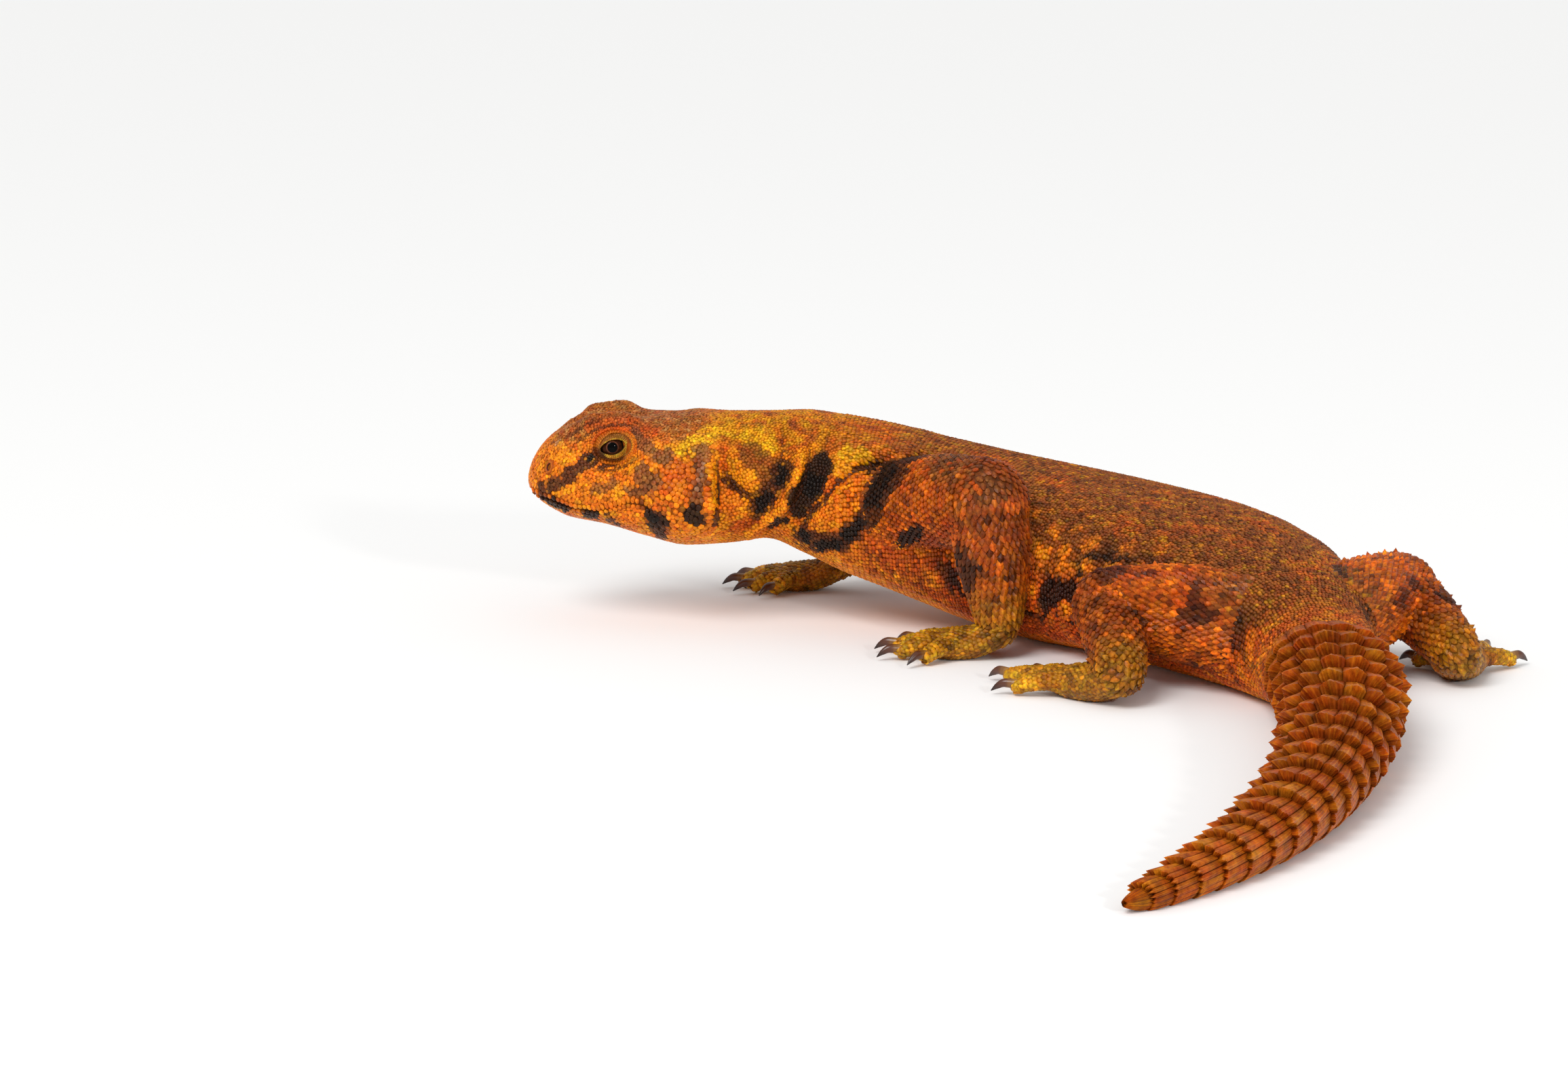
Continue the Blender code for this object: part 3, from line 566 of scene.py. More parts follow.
# Marks on the side view: colour, half width and places, from the snout and above the floor
SIDE_MARKS = (
    (RED_ORANGE, 2.2, ((14, 48.2), (19, 48.6), (25.6, 47.4))),
    (BROWN, 1.0, ((1.8, 43.3), (8.9, 49.3), (17.6, 50.9), (24, 51.5))),
    (GREY_BROWN, 1.5, ((22.7, 46), (25.3, 43.3), (29.5, 41.4))),
    (YELLOW, 1.9, ((32.4, 43), (36, 45), (41, 48.2))),
    (tone("#B98066"), 0.5, ((5.6, 44.6), (6.6, 45.2))),
    (YELLOW, 2.8, ((40, 49), (47, 47), (49, 44))),
    (DARK_BROWN, 1.3, ((14.9, 42.9), (11.8, 40.7), (8.9, 37.9), (3.4, 35.4))),
    (BLACK, 0.55, ((14.6, 42.6), (12.4, 41.3))),
    (DARK_BROWN, 0.55, ((15.2, 40.1), (18, 39.6), (20.4, 41.4))),
    (tone("#583828"), 1.05, ((13.9, 35), (16, 35.2), (18, 36.1))),
    (GREY_BROWN, 0.9, ((21.3, 34.6), (24.6, 35.1))),
    (GREY_BROWN, 1.9, ((23.8, 38.2), (25.9, 36.7))),
    (BLACK, 0.7, ((3.2, 33.2), (5.4, 32.1), (7.8, 30.9))),
    (BLACK, 1.0, ((12.1, 29.9), (13.8, 29.7))),
    (DARK_BROWN, 0.8, ((16.6, 29.1), (18.6, 27.6))),
    (YELLOW, 0.4, ((19.2, 30.0),)),
    (BLACK, 1.2, ((25.5, 30.4), (26.3, 29.4))),
    (BLACK, 2.1, ((27.0, 28.4), (27.8, 27.2))),
    (DARK_BROWN, 1.3, ((27.8, 26.2), (27.4, 24.8))),
    (GREY_BROWN, 1.7, ((35.2, 32.6), (36.2, 37.4), (36.5, 42.5))),
    # A pinkish line painted as highlights on the grey-brown patch
    (tone("#9A6E5C"), 0.45, ((35.0, 33.8), (35.9, 37.6), (36.3, 40.5))),
    (BLACK, 2.0, ((34.5, 29.8), (35.1, 29.2))),
    (AMBER, 0.9, ((39.3, 42.5), (38.9, 37), (39.1, 30.4))),
    # Painted shade in the crease behind the ear, on these two marks
    (DARK_BROWN, 1.3, ((41.7, 37), (42.9, 35.9))),
    (DARK_BROWN, 0.7, ((42.9, 35.9), (46.2, 33.4))),
    (DARK_BROWN, 0.8, ((39.6, 30), (39.4, 27.5))),
    (AMBER, 1.6, ((42.5, 41.5), (46, 38), (50, 35.4))),
    (BROWN, 2.6, ((47, 42.5), (49.4, 40), (51, 37))),
    (DARK_BROWN, 2.3, ((53.6, 39), (52.2, 36), (49.6, 33), (48.1, 31.2))),
    (BLACK, 1.2, ((53.6, 38.6), (52.6, 36.6))),
    (BLACK, 0.9, ((50.2, 33.4), (48.2, 31.4))),
    (AMBER, 1.0, ((58.3, 43), (57.6, 39.6), (55.2, 33), (52, 29), (46, 25.6))),
    (BLACK, 2.9, ((61.4, 40), (59.4, 36.4))),
    (BLACK, 2.6, ((59.2, 36.4), (57.6, 33), (56.6, 31.6))),
    (BLACK, 0.8, ((53.6, 28.9), (50.4, 27.2))),
    (YELLOW, 1.4, ((66, 42.2), (71, 42))),
    (AMBER, 1.6, ((65, 38.8), (68, 39.8))),
)
SHOULDER_MARKS = (
    # Painted shade along the shoulder crease
    (BLACK, 0.7, ((69.7, 39.4), (78, 40.2), (86, 43.1))),
    (DARK_BROWN, 2.5, ((77, 38.4), (74.4, 35.4), (72.4, 32), (71.6, 29.6))),
    (BLACK, 1.7, ((76, 38.6), (73.4, 36), (72, 32.4))),
    # Painted shade along the crease of the neck
    (DARK_BROWN, 0.6, ((58, 28), (60.3, 30.9), (63.9, 35.1), (67.1, 38), (71.4, 40.3))),
    (DARK_BROWN, 2.1, ((57.4, 25.6), (60, 23.8), (65, 23.8), (67.6, 26), (70.6, 28))),
    (BLACK, 0.9, ((57.2, 26), (59, 24.2))),
    (BLACK, 1.3, ((61.4, 23.2), (64.4, 23.4))),
    (BLACK, 1.5, ((67, 25.6), (69.8, 27.8))),
)
ARM_MARKS = (
    (BLACK, 1.5, ((78.2, 23.9), (81.6, 26.2))),
    (BLACK, 1.3, ((82, 19.2), (86.5, 21.6))),
    (DARK_BROWN, 2.0, ((75, 36), (72.5, 32))),
    (DARK_BROWN, 1.6, ((91, 21.5), (93.5, 18.6))),
    (DARK_BROWN, 1.8, ((90.5, 17), (93, 15.5))),
    (UMBER, 2.4, ((88, 42), (96, 40.5), (101, 35))),
    (tone("#6C4420"), 3.2, ((86, 39.6), (92, 38.6), (97, 34.4))),
)


def layer(base, top, share):
    return base * (1 - share[:, None]) + top * share[:, None]


def paint(colour, *coats):
    """Colours with further tones laid over them, each given with its share."""
    for top, share in coats:
        colour = layer(colour, top, share)
    return colour


class Spots:
    """Round pale spots of the flanks and the dark net between them, in lengths along and across each side."""

    def __init__(self):
        draw = np.random.default_rng(5)
        places = [(s, k, row % 2) for row, s in enumerate(np.arange(92, 205, 8.6)) for k in range(5)]
        self.centres = np.array([
            (s + draw.uniform(-2.7, 2.7), 8.5 + k * 8.4 + 4.2 * odd + draw.uniform(-2.4, 2.4)) for s, k, odd in places
        ])
        self.stretch = draw.uniform(0.8, 1.35, len(self.centres))

    def distances(self, s, across):
        """Distances to the nearest spot and to the next one."""
        gaps = np.hypot(s[:, None] - self.centres[:, 0], (across[:, None] - self.centres[:, 1]) * 1.05) * self.stretch
        gaps.partition(1, axis=1)
        return gaps[:, 0], gaps[:, 1]


SPOTS = Spots()


def body_colour(points, s, angle):
    """Colour of the head, neck, trunk and tail at points of the body."""
    turn = folded(angle)
    large, small, fine = mottle(points, 9), mottle(points, 2.6, 3.1), mottle(points, 1.1, 7.7)
    warp = np.column_stack([mottle(points, 3.2, 11.3), mottle(points, 3.2, 19.7)])
    # Brown crown and back, paler on the nape
    crown = step_up(-turn, -0.95, -0.55) * step_up(s, 3, 9)
    nape = step_up(-turn, -1.25, -0.6) * step_up(s, 36, 44) * step_up(-s, -84, -58)
    back = step_up(-turn, -1.35, -0.85) * step_up(s, 58, 92) * step_up(-s, -214, -196)
    colour = paint(
        np.tile(ORANGE, (len(s), 1)),
        (AMBER, step_up(small + 0.5 * fine, -0.15, 0.5) * 0.75),
        (RED_ORANGE, step_up(large - 0.3 * fine, 0.05, 0.5) * 0.55),
        (BROWN, crown * step_up(-s, -42, -34) * (0.75 + 0.25 * small.clip(-1, 1))),
        (tone("#B47C4C"), crown * step_up(fine - 0.3 * small, 0.0, 0.45) * step_up(-s, -44, -34) * 0.6),
        (OCHRE, nape * step_up(small, -0.5, 0.3) * 0.65),
        (BROWN, nape * step_up(-small + 0.4 * fine, 0.0, 0.5) * 0.8),
        (BROWN, back * (0.9 - 0.45 * step_up(large + 0.5 * small, 0.05, 0.6))),
        (DARK_BROWN, back * step_up(-small + 0.5 * fine, 0.1, 0.6) * 0.5),
        (OCHRE, back * step_up(fine + 0.4 * small, 0.2, 0.5) * 0.5),
    )
    # Pale spots and the dark net of the flanks, the red chest and the paler belly
    near, second = SPOTS.distances(s + 1.7 * warp[:, 0], turn * smooth(HALF_WIDTH, s) + 1.9 * warp[:, 1])
    flank = step_up(turn, 0.5, 1.0) * step_up(s, 84, 98) * step_up(-s, -203, -188)
    patchy = 0.3 + 0.7 * step_up(large + 0.4 * small, -0.25, 0.1)
    net = step_up(near, 2.5, 3.4) * step_up(-(second - near), -2.9, -0.9) * patchy
    blots = step_up(near, 2.9, 3.8) * step_up(large + 0.35 * fine, 0.0, 0.25)
    depth = flank * step_up(-turn, -2.35, -1.9)
    low = step_up(turn, 0.7, 1.2)
    chest = step_up(turn, 1.45, 1.8) * step_up(s, 66, 74) * step_up(-s, -100, -86)
    colour = paint(
        colour,
        (BROWN, flank * step_up(near, 2.4, 3.4) * 0.75 * step_up(-turn, -1.9, -1.0)),
        (RED_ORANGE, flank * step_up(near, 2.4, 3.6) * 0.7 * step_up(turn, 1.2, 1.7)),
        (BLACK, depth * np.maximum(net, blots) * (0.35 + 0.6 * step_up(turn, 0.7, 1.15))),
        (ORANGE, flank * step_up(-near, -3.1, -1.6) * (0.45 + 0.45 * low)),
        (AMBER, flank * step_up(-near - 0.8 * fine, -1.9, -0.4) * (0.2 + 0.4 * low)),
        (EMBER, chest * step_up(-small - 0.4 * fine, -0.5, 0.4) * 0.6),
        (AMBER, step_up(turn, 2.2, 2.7) * step_up(s, 20, 40) * 0.5),
    )
    # Marks of the head, neck and shoulder, a few of them painted shade in creases and one a painted highlight
    plain = side_view(points)
    view = plain + 0.6 * warp + 0.8 * np.column_stack([mottle(points, 1.6, 23.1), mottle(points, 1.6, 31.3)])
    facing = step_up(turn, 0.35, 0.7) * step_up(-s, -104, -96) * step_up(-turn, -2.9, -2.5)
    broken = 1 - 0.55 * step_up(fine + 0.4 * small, 0.15, 0.45)
    strengths = (BLACK, 0.97), (DARK_BROWN, 0.95 * broken), (GREY_BROWN, 0.8), (BROWN, 0.8), (YELLOW, 0.6 * broken)
    for mark, half, run in SIDE_MARKS + SHOULDER_MARKS:
        strength = next((share for kind, share in strengths if kind is mark), 0.6)
        colour = layer(colour, mark, strength * facing * step_up(-near_run(view, run), -half * 1.15, -half * 0.85))
    # Painted shade in the creases, and a painted highlight on the narrow folds
    for run, spread, height in SIDE_FOLDS:
        gap = near_run(plain, run)
        if height < 0:
            crease_shade = facing * step_up(-gap, -0.6 * spread, -0.1 * spread) * min(0.8, -height)
            colour = layer(colour, DARK_BROWN, crease_shade)
        elif spread < 1.5:
            colour = colour * (1 + 0.18 * facing * step_up(-gap, -spread, 0))[:, None]
    # Painted shade in the gap of the mouth, and black painted shade in the ear opening
    mouth, ear = near_run(plain, side_view(mouth_line_points())), near_run(plain, ((39.8, 36.2), (39.9, 31.8)))
    colour = paint(
        colour,
        (DARK_BROWN, 0.6 * (step_up(-mouth, -0.25, -0.1) * (s < 28) * step_up(turn, 0.9, 1.1))),
        (BLACK, 0.8 * step_up(-ear, -0.6, -0.3) * facing),
    )
    rust = layer(np.tile(TAIL_RUST, (len(s), 1)), TAIL_AMBER, step_up(small, -0.1, 0.6) * 0.8)
    return layer(colour, rust, step_up(s, 192, 208))


def limb_colour(points, kind, leg, along):
    """Colour of a limb at points of its surface; along runs from 0 at the root to 1."""
    large, small, fine = mottle(points, 6, 2.2), mottle(points, 2.4, 5.1), mottle(points, 1.2, 9.7)
    if kind in ("palm", "digit"):
        tip = step_up(along, 0.3, 0.9) * (0.8 if kind == "digit" else 0)
        return paint(
            np.tile(SAND_BROWN, (len(points), 1)),
            (SAND, step_up(small + 0.5 * fine, -0.35, 0.35) * 0.75),
            (RUST, step_up(large, 0.1, 0.6) * 0.4),
            (tone("#D49A1A"), tip),
            (DARK_BROWN, step_up(-small + fine * 0.5, 0.2, 0.6) * 0.55),
        )
    colour = np.tile(RUST, (len(points), 1))
    if kind == "upper":
        # The root takes the colour of the back beside it
        level = 26 if leg == "fore" else 13
        root = step_up(-along, -0.17, -0.03) * step_up(points[:, 2], level, level + 6)
        colour = paint(
            colour,
            (ORANGE, step_up(small + 0.3 * fine, -0.3, 0.4) * 0.65),
            (EMBER, step_up(-large, -0.1, 0.5) * 0.55),
            (BROWN, root * 0.8),
            (OCHRE, root * step_up(fine + 0.4 * small, 0.2, 0.5) * 0.5),
        )
    else:
        colour = paint(
            colour,
            (UMBER, step_up(large + 0.6 * fine, -0.45, 0.3) * 0.75),
            (ORANGE, step_up(small + 0.5 * fine, 0.1, 0.6) * 0.5),
            (SAND, step_up(along, 0.72, 0.98) * 0.75),
            (SAND_BROWN, step_up(along, 0.8, 1.0) * 0.5),
        )
    if leg == "hind":
        return layer(colour, BLACK, step_up(-large + 0.3 * small, 0.3, 0.5) * 0.75)
    view = side_view(points) + 0.6 * np.column_stack([small, fine])
    for mark, half, run in ARM_MARKS:
        strength = 0.65 * step_up(fine, -0.5, 0.1) if half > 2.2 else 0.95
        colour = layer(colour, mark, strength * step_up(-near_run(view, run), -half * 1.15, -half * 0.8))
    # The shoulder's marks, with their painted crease shade, run on over the upper arm
    for mark, half, run in SHOULDER_MARKS if kind == "upper" else ():
        colour = layer(colour, mark, 0.9 * step_up(-near_run(view, run), -half * 1.12, -half * 0.85))
    return colour


# One skin over the head, trunk, tail and legs

def body_mesh(grow):
    """Closed mesh of the head, trunk and tail, with each point's place on the body."""
    stations = np.concatenate([
        [0.12, 0.4, 0.8, 1.3], np.arange(1.9, 70, 0.7), np.arange(70, TAIL_START, 1.2), np.arange(TAIL_START, 346, 1.5),
    ])
    count = 132
    grid_s, grid_a = np.repeat(stations, count), np.tile(round_angles(count), len(stations))
    points = body_points(grid_s, grid_a, grow)
    points[:, 2] = np.maximum(points[:, 2], COAT)
    end = on_spine(TAIL_END - 1)[0][0]
    poles = [np.array([0.0, 0.0, float(smooth(MIDDLE, 0))]), end + (0, 0, 1.2)]
    return tube_mesh(list(points.reshape(len(stations), count, 3)), poles), points, grid_s, grid_a


def make_skin():
    """One skin round the body and the legs, and the map that tells which part each place of it is on."""
    (points, faces), body_at, body_s, body_a = body_mesh(-COAT)
    all_points, offset = [points], len(points)
    marks = [(body_at, np.zeros(len(body_at), int), body_s, body_a)]
    for number, limb in enumerate(LIMBS, 1):
        fine = limb.kind in ("palm", "digit")
        p, f = limb.mesh(20 if limb.kind == "digit" else 40, 0.5 if fine else 0.9, -COAT * (0.7 if fine else 1))
        p[:, 2] = np.maximum(p[:, 2], COAT * 0.6)
        all_points.append(p)
        faces += shifted(f, offset)
        offset += len(p)
        u, a = np.repeat(np.linspace(0, limb.run[-1], 30), 24), np.tile(round_angles(24), 30)
        marks.append((limb.points(u, a, -COAT), np.full(len(u), number), u / limb.run[-1], a))
    piece = mesh_piece("skin", np.vstack(all_points), faces)
    remesh = piece.modifiers.new("one skin", "REMESH")
    remesh.mode, remesh.voxel_size = "VOXEL", SKIN_VOXEL
    ease = piece.modifiers.new("soft joints", "SMOOTH")
    ease.factor, ease.iterations = 0.5, 2
    mesh = bpy.data.meshes.new_from_object(piece.evaluated_get(bpy.context.evaluated_depsgraph_get()))
    piece.modifiers.clear()
    piece.data = mesh
    return piece, [np.concatenate([m[i] for m in marks]) for i in range(4)]


skin, surface_map = make_skin()
skin_co = (co_of(skin.data) - SHIFT) * 1000
surface_tree = kd_tree(surface_map[0])
nearest = np.array([surface_tree.find(p)[1] for p in skin_co])
skin_part, skin_s, skin_a = (values[nearest] for values in surface_map[1:])


def colours_at(points, part, s, angle):
    """Colours at places of the skin: part 0 is the body, and the others are the limbs in order."""
    colours = np.zeros((len(points), 3))
    body = part == 0
    if body.any():
        colours[body] = body_colour(points[body], s[body], angle[body])
    for number, limb in enumerate(LIMBS, 1):
        mine = part == number
        if mine.any():
            first, last = limb.span
            colours[mine] = limb_colour(points[mine], limb.kind, limb.leg, first + (last - first) * s[mine])
    return colours


# The hide is painted at 0.6 of the scales' colour, as shade in the gaps between the scales
give_colour(skin.data, colours_at(skin_co, skin_part, skin_s, skin_a) * 0.6)
wrap = BVHTree.FromPolygons(skin_co.tolist(), [tuple(p.vertices) for p in skin.data.polygons])
print("skin", len(skin.data.vertices), "points")


# Scales: where they root, how they lie and how large they are

def flattened(ways, normal):
    """Ways laid flat on the surface."""
    return unit(ways - normal * np.sum(ways * normal, axis=1)[:, None])


def turned(first, second, angle):
    """Two crossed ways, both turned by an angle from the first towards the second."""
    co, si = np.cos(angle)[:, None], np.sin(angle)[:, None]
    return first * co + second * si, second * co - first * si


class Roots:
    """Roots of scales, gathered before they are set on the skin."""

    def __init__(self):
        self.rows = []

    def add(self, points, lie, width, length, height, tilt, part, s, angle, spin=0.0, shade=1.0, keep=1.3):
        """Adds roots with the way they lie, their sizes, and how far from the skin a root may be and still be kept."""
        n = len(points)
        if n:
            values = (width, length, height, tilt, part, s, angle, spin, shade, keep)
            columns = [np.broadcast_to(np.asarray(v, float), (n,)) for v in values]
            self.rows.append(np.column_stack([points, lie, *columns]))

    def settled(self, contrast=0.24):
        """Roots on the skin as places, frames, sizes, colours and unwrap places. Some scales are dark, and some much
        paler, partly as painted glints.
        """
        rows = np.vstack(self.rows)
        hits = [wrap.find_nearest(p) for p in rows[:, :3].tolist()]
        good = [i for i, hit in enumerate(hits) if hit[3] < rows[i, 15]]
        at, normal = (np.array([hits[i][k] for i in good]) for k in (0, 1))
        rows = rows[good]
        lie = flattened(rows[:, 3:6], normal)
        tilt, part, s, angle, spin, shade = rows[:, 9:15].T
        part = part.astype(int)
        lie, across = turned(lie, np.cross(lie, normal), spin)
        along, out = turned(lie, normal, tilt)
        colour = colours_at(at, part, s, angle) * shade[:, None]
        jitter = 1 + contrast * (random.random((len(rows), 1)) - 0.5)
        # A few scales are painted much paler, partly as glints on their tips
        odd = random.random((len(rows), 1))
        jitter = np.where(odd < 0.08, 1.15 + 0.9 * contrast, np.where(odd > 0.9, 0.86 - 0.8 * contrast, jitter))
        colour = np.clip(colour * jitter, 0.002, 1)
        return at, across, along, out, rows[:, 6:9], colour, unwrap(part, s, angle)


def unwrap(part, s, angle):
    """Place of a root on the unwrapped skin: the body above, and one strip for each leg."""
    turn = ((angle + math.pi) % math.tau) / math.tau
    u, v = 0.02 + 0.96 * s / UNWRAP_LENGTH, 0.02 + 0.55 * turn
    for number, limb in enumerate(LIMBS, 1):
        mine = part == number
        strip = STRIPS[(limb.leg, limb.side)]
        first, last = limb.span if limb.kind in ("upper", "lower") else (0.9, 1.0)
        u[mine] = 0.02 + 0.96 * (first + (last - first) * s[mine])
        v[mine] = 0.61 + 0.09 * strip + 0.08 * turn[mine]
    return np.column_stack([u, v])


def euler_of(x, y, z):
    """XYZ angles of frames given by their three axes."""
    return np.column_stack([
        np.arctan2(y[:, 2], z[:, 2]),
        -np.arcsin(np.clip(x[:, 2], -1, 1)),
        np.arctan2(x[:, 1], x[:, 0]),
    ])


def scale_shape(name, points, faces):
    """Closed shape of one scale, about one unit wide. Its crest runs from 0 at its foot to 1 at its highest."""
    points = np.array(points, float)
    piece = mesh_piece(name, points, faces, raw=True)
    # The finishes paint shade where the crest is 0 and a highlight where it is 1
    give(piece.data, "crest", "FLOAT", np.clip(1.3 * points[:, 2] / points[:, 2].max(), 0, 1))
    corner = read(piece.data.loops, "vertex_index", kind=np.int32)
    write(piece.data.uv_layers.new(name="patch").data, "uv", 0.5 + points[corner, :2] * (0.6, 0.5))
    return piece


def ringed(outline, levels, top):
    """Points and faces of a dome: rings of one outline at (share, height), then a top point and a flat foot."""
    count, last = len(outline), (len(levels) - 1) * len(outline)
    points = [(x * share, y * share, z) for share, z in levels for x, y in outline] + [top]
    faces = [face for a in range(0, last, count) for face in strip_faces(a, a + count, count)]
    faces += [(last + k, last + (k + 1) % count, len(points) - 1) for k in range(count)]
    return points, faces + [tuple(range(count))]


def corners(count, size):
    return [(size * math.sin(a), size * math.cos(a)) for a in (math.tau * (k + 0.5) / count for k in range(count))]


HEX = corners(6, 0.56)
LEAF = [(-0.34, -0.5), (0.34, -0.5), (0.52, -0.05), (0.36, 0.38), (0, 0.62), (-0.36, 0.38), (-0.52, -0.05)]
SQUARE = [(-0.5, -0.52), (0.5, -0.52), (0.5, 0.5), (-0.5, 0.5)]
PEBBLE, GRAIN, CONE, SHINGLE, TILE = (
    scale_shape(name, *ringed(*shape)) for name, shape in (
        ("pebble", (corners(7, 0.54), ((1.0, -0.5), (0.97, 0.45), (0.74, 0.92)), (0, 0, 1.0))),
        ("grain", (HEX, ((1.0, -0.4), (0.86, 0.5)), (0, 0, 1.0))),
        ("cone", (HEX, ((1.0, -0.4), (0.7, 0.35)), (0, 0.3, 1.0))),
        ("shingle", (LEAF, ((1.0, -0.3), (0.96, 0.4)), (0, 0.3, 1.0))),
        ("tile", (SQUARE, ((1.0, -0.3), (0.93, 0.7)), (0, 0.1, 1.0))),
    )
)


def keeled_shape():
    """Leaf with a ridge along its middle, flat on both sides of it."""
    points = [(x * share, y * share, z) for share, z in ((1.0, -0.3), (0.95, 0.3)) for x, y in LEAF]
    points += [(0, -0.38, 0.62), (0, 0.16, 1.0)]
    points[11] = (0, 0.62, 0.62)
    faces = strip_faces(0, 7, 7) + [tuple(range(7))]
    faces += [(7, 8, 14), (8, 9, 15, 14), (9, 10, 15), (10, 11, 15), (11, 12, 15), (12, 13, 15), (13, 7, 14, 15)]
    shape = scale_shape("keeled", points, faces)
    shape.data.shade_flat()
    return shape


KEELED = keeled_shape()


def add_node(tree, kind, inputs=(), **settings):
    """Adds a node with its settings, and fills or links its inputs. A node stands for its first output."""
    node = tree.nodes.new(kind)
    for key, value in settings.items():
        setattr(node, key, value)
    for key, value in dict(inputs).items():
        if isinstance(value, bpy.types.Node):
            value = value.outputs[0]
        if isinstance(value, bpy.types.NodeSocket):
            tree.links.new(value, node.inputs[key])
        else:
            node.inputs[key].default_value = value
    return node


def scale_tree():
    """Puts one scale on each root, turned and sized by the root, varies its size and makes it real."""
    tree = bpy.data.node_groups.new("Scales on roots", "GeometryNodeTree")
    for name, kind, way in (
        ("Roots", "Geometry", "INPUT"), ("Scale shape", "Object", "INPUT"), ("Size variation", "Float", "INPUT"),
        ("Seed", "Int", "INPUT"), ("Finish", "Material", "INPUT"), ("Scales", "Geometry", "OUTPUT"),
    ):
        tree.interface.new_socket(name=name, in_out=way, socket_type="NodeSocket" + kind)
    start = add_node(tree, "NodeGroupInput").outputs
    shape = add_node(tree, "GeometryNodeObjectInfo", {"Object": start["Scale shape"]})
    turn, size = (
        add_node(tree, "GeometryNodeInputNamedAttribute", {"Name": name}, data_type="FLOAT_VECTOR")
        for name in ("turn", "size")
    )
    low, high = (
        add_node(tree, "ShaderNodeMath", {0: 1.0, 1: start["Size variation"]}, operation=way)
        for way in ("SUBTRACT", "ADD")
    )
    vary = add_node(tree, "FunctionNodeRandomValue", {2: low, 3: high, "Seed": start["Seed"]}, data_type="FLOAT")
    scaled = add_node(tree, "ShaderNodeVectorMath", {0: size, "Scale": vary.outputs[1]}, operation="SCALE")
    placed = add_node(tree, "GeometryNodeInstanceOnPoints", {
        "Points": start["Roots"], "Instance": shape.outputs["Geometry"],
        "Rotation": add_node(tree, "FunctionNodeEulerToRotation", {0: turn}), "Scale": scaled,
    })
    real = add_node(tree, "GeometryNodeRealizeInstances", {0: placed})
    finished = add_node(tree, "GeometryNodeSetMaterial", {"Geometry": real, "Material": start["Finish"]})
    add_node(tree, "NodeGroupOutput", {0: finished})
    return tree


SCALE_TREE = scale_tree()
SOCKETS = {item.name: item.identifier for item in SCALE_TREE.interface.items_tree if item.in_out == "INPUT"}


def grow_scales(name, settled, shape, finish, variation=0.1, seed=3):
    """Coat pieces of one kind of scale on its settled roots, each under the limit of triangles."""
    pieces = math.ceil(len(settled[0]) * triangles_in(shape.data) / PIECE_LIMIT)
    order = np.argsort(settled[6][:, 0], kind="stable")
    for number, part in enumerate(np.array_split(order, pieces), 1):
        rows = tuple(values[part] for values in settled)
        grow_piece(name if pieces == 1 else f"{name}_{number}", rows, shape, finish, variation, seed + number)


def grow_piece(name, settled, shape, finish, variation, seed):
    """One coat piece, grown from its roots by the node tree and made a plain mesh."""
    at, across, along, out, sizes, colour, places = settled
    mesh = bpy.data.meshes.new(name)
    mesh.from_pydata(metres(at).tolist(), [], [])
    give(mesh, "turn", "FLOAT_VECTOR", euler_of(across, along, out))
    give(mesh, "size", "FLOAT_VECTOR", sizes * 0.001)
    give(mesh, "root_u", "FLOAT", places[:, 0])
    give(mesh, "root_v", "FLOAT", places[:, 1])
    give_colour(mesh, colour)
    piece = put(name, mesh)
    nodes = piece.modifiers.new("scales", "NODES")
    nodes.node_group = SCALE_TREE
    for key, value in (("Scale shape", shape), ("Size variation", variation), ("Seed", seed), ("Finish", finish)):
        nodes[SOCKETS[key]] = value
    bpy.context.view_layer.update()
    grown = bpy.data.meshes.new_from_object(piece.evaluated_get(bpy.context.evaluated_depsgraph_get()))
    bpy.data.objects.remove(piece)
    finish_coat(name, grown, finish)


def finish_coat(name, mesh, finish):
    """Keeps a coat off the floor, and gives each scale its small patch on the skin's unwrap."""
    co = co_of(mesh)
    co[:, 2] = np.maximum(co[:, 2], 0.0)
    write(mesh.vertices, "co", co)
    root = np.column_stack([read(mesh.attributes[key].data, "value") for key in ("root_u", "root_v")])
    patch = read(mesh.attributes["patch"].data, "vector", 2)
    place = root[read(mesh.loops, "vertex_index", kind=np.int32)] + (np.clip(patch, 0, 1) - 0.5) * PATCH
    for key in ("patch", "root_u", "root_v", "size", "turn"):
        if key in mesh.attributes:
            mesh.attributes.remove(mesh.attributes[key])
    write(mesh.uv_layers.new(name="OFBake").data, "uv", place)
    if not mesh.materials:
        mesh.materials.append(finish)
    mesh.update()
    put(name, mesh)
    print(name, triangles_in(mesh), "triangles")


# Finishes

def new_finish(name, roughness, specular, ior):
    """Material whose even values are set, with its node tree and its shader."""
    material = bpy.data.materials.new(name)
    material.use_nodes = True
    shader = material.node_tree.nodes["Principled BSDF"]
    for key, value in (("Roughness", roughness), ("Specular IOR Level", specular), ("IOR", ior)):
        shader.inputs[key].default_value = value
    return material, material.node_tree, shader


def vector_node(tree, operation, first, second):
    """Product of two colours, or a colour scaled by a number."""
    key = "Scale" if operation == "SCALE" else 1
    return add_node(tree, "ShaderNodeVectorMath", {0: first, key: second}, operation=operation)


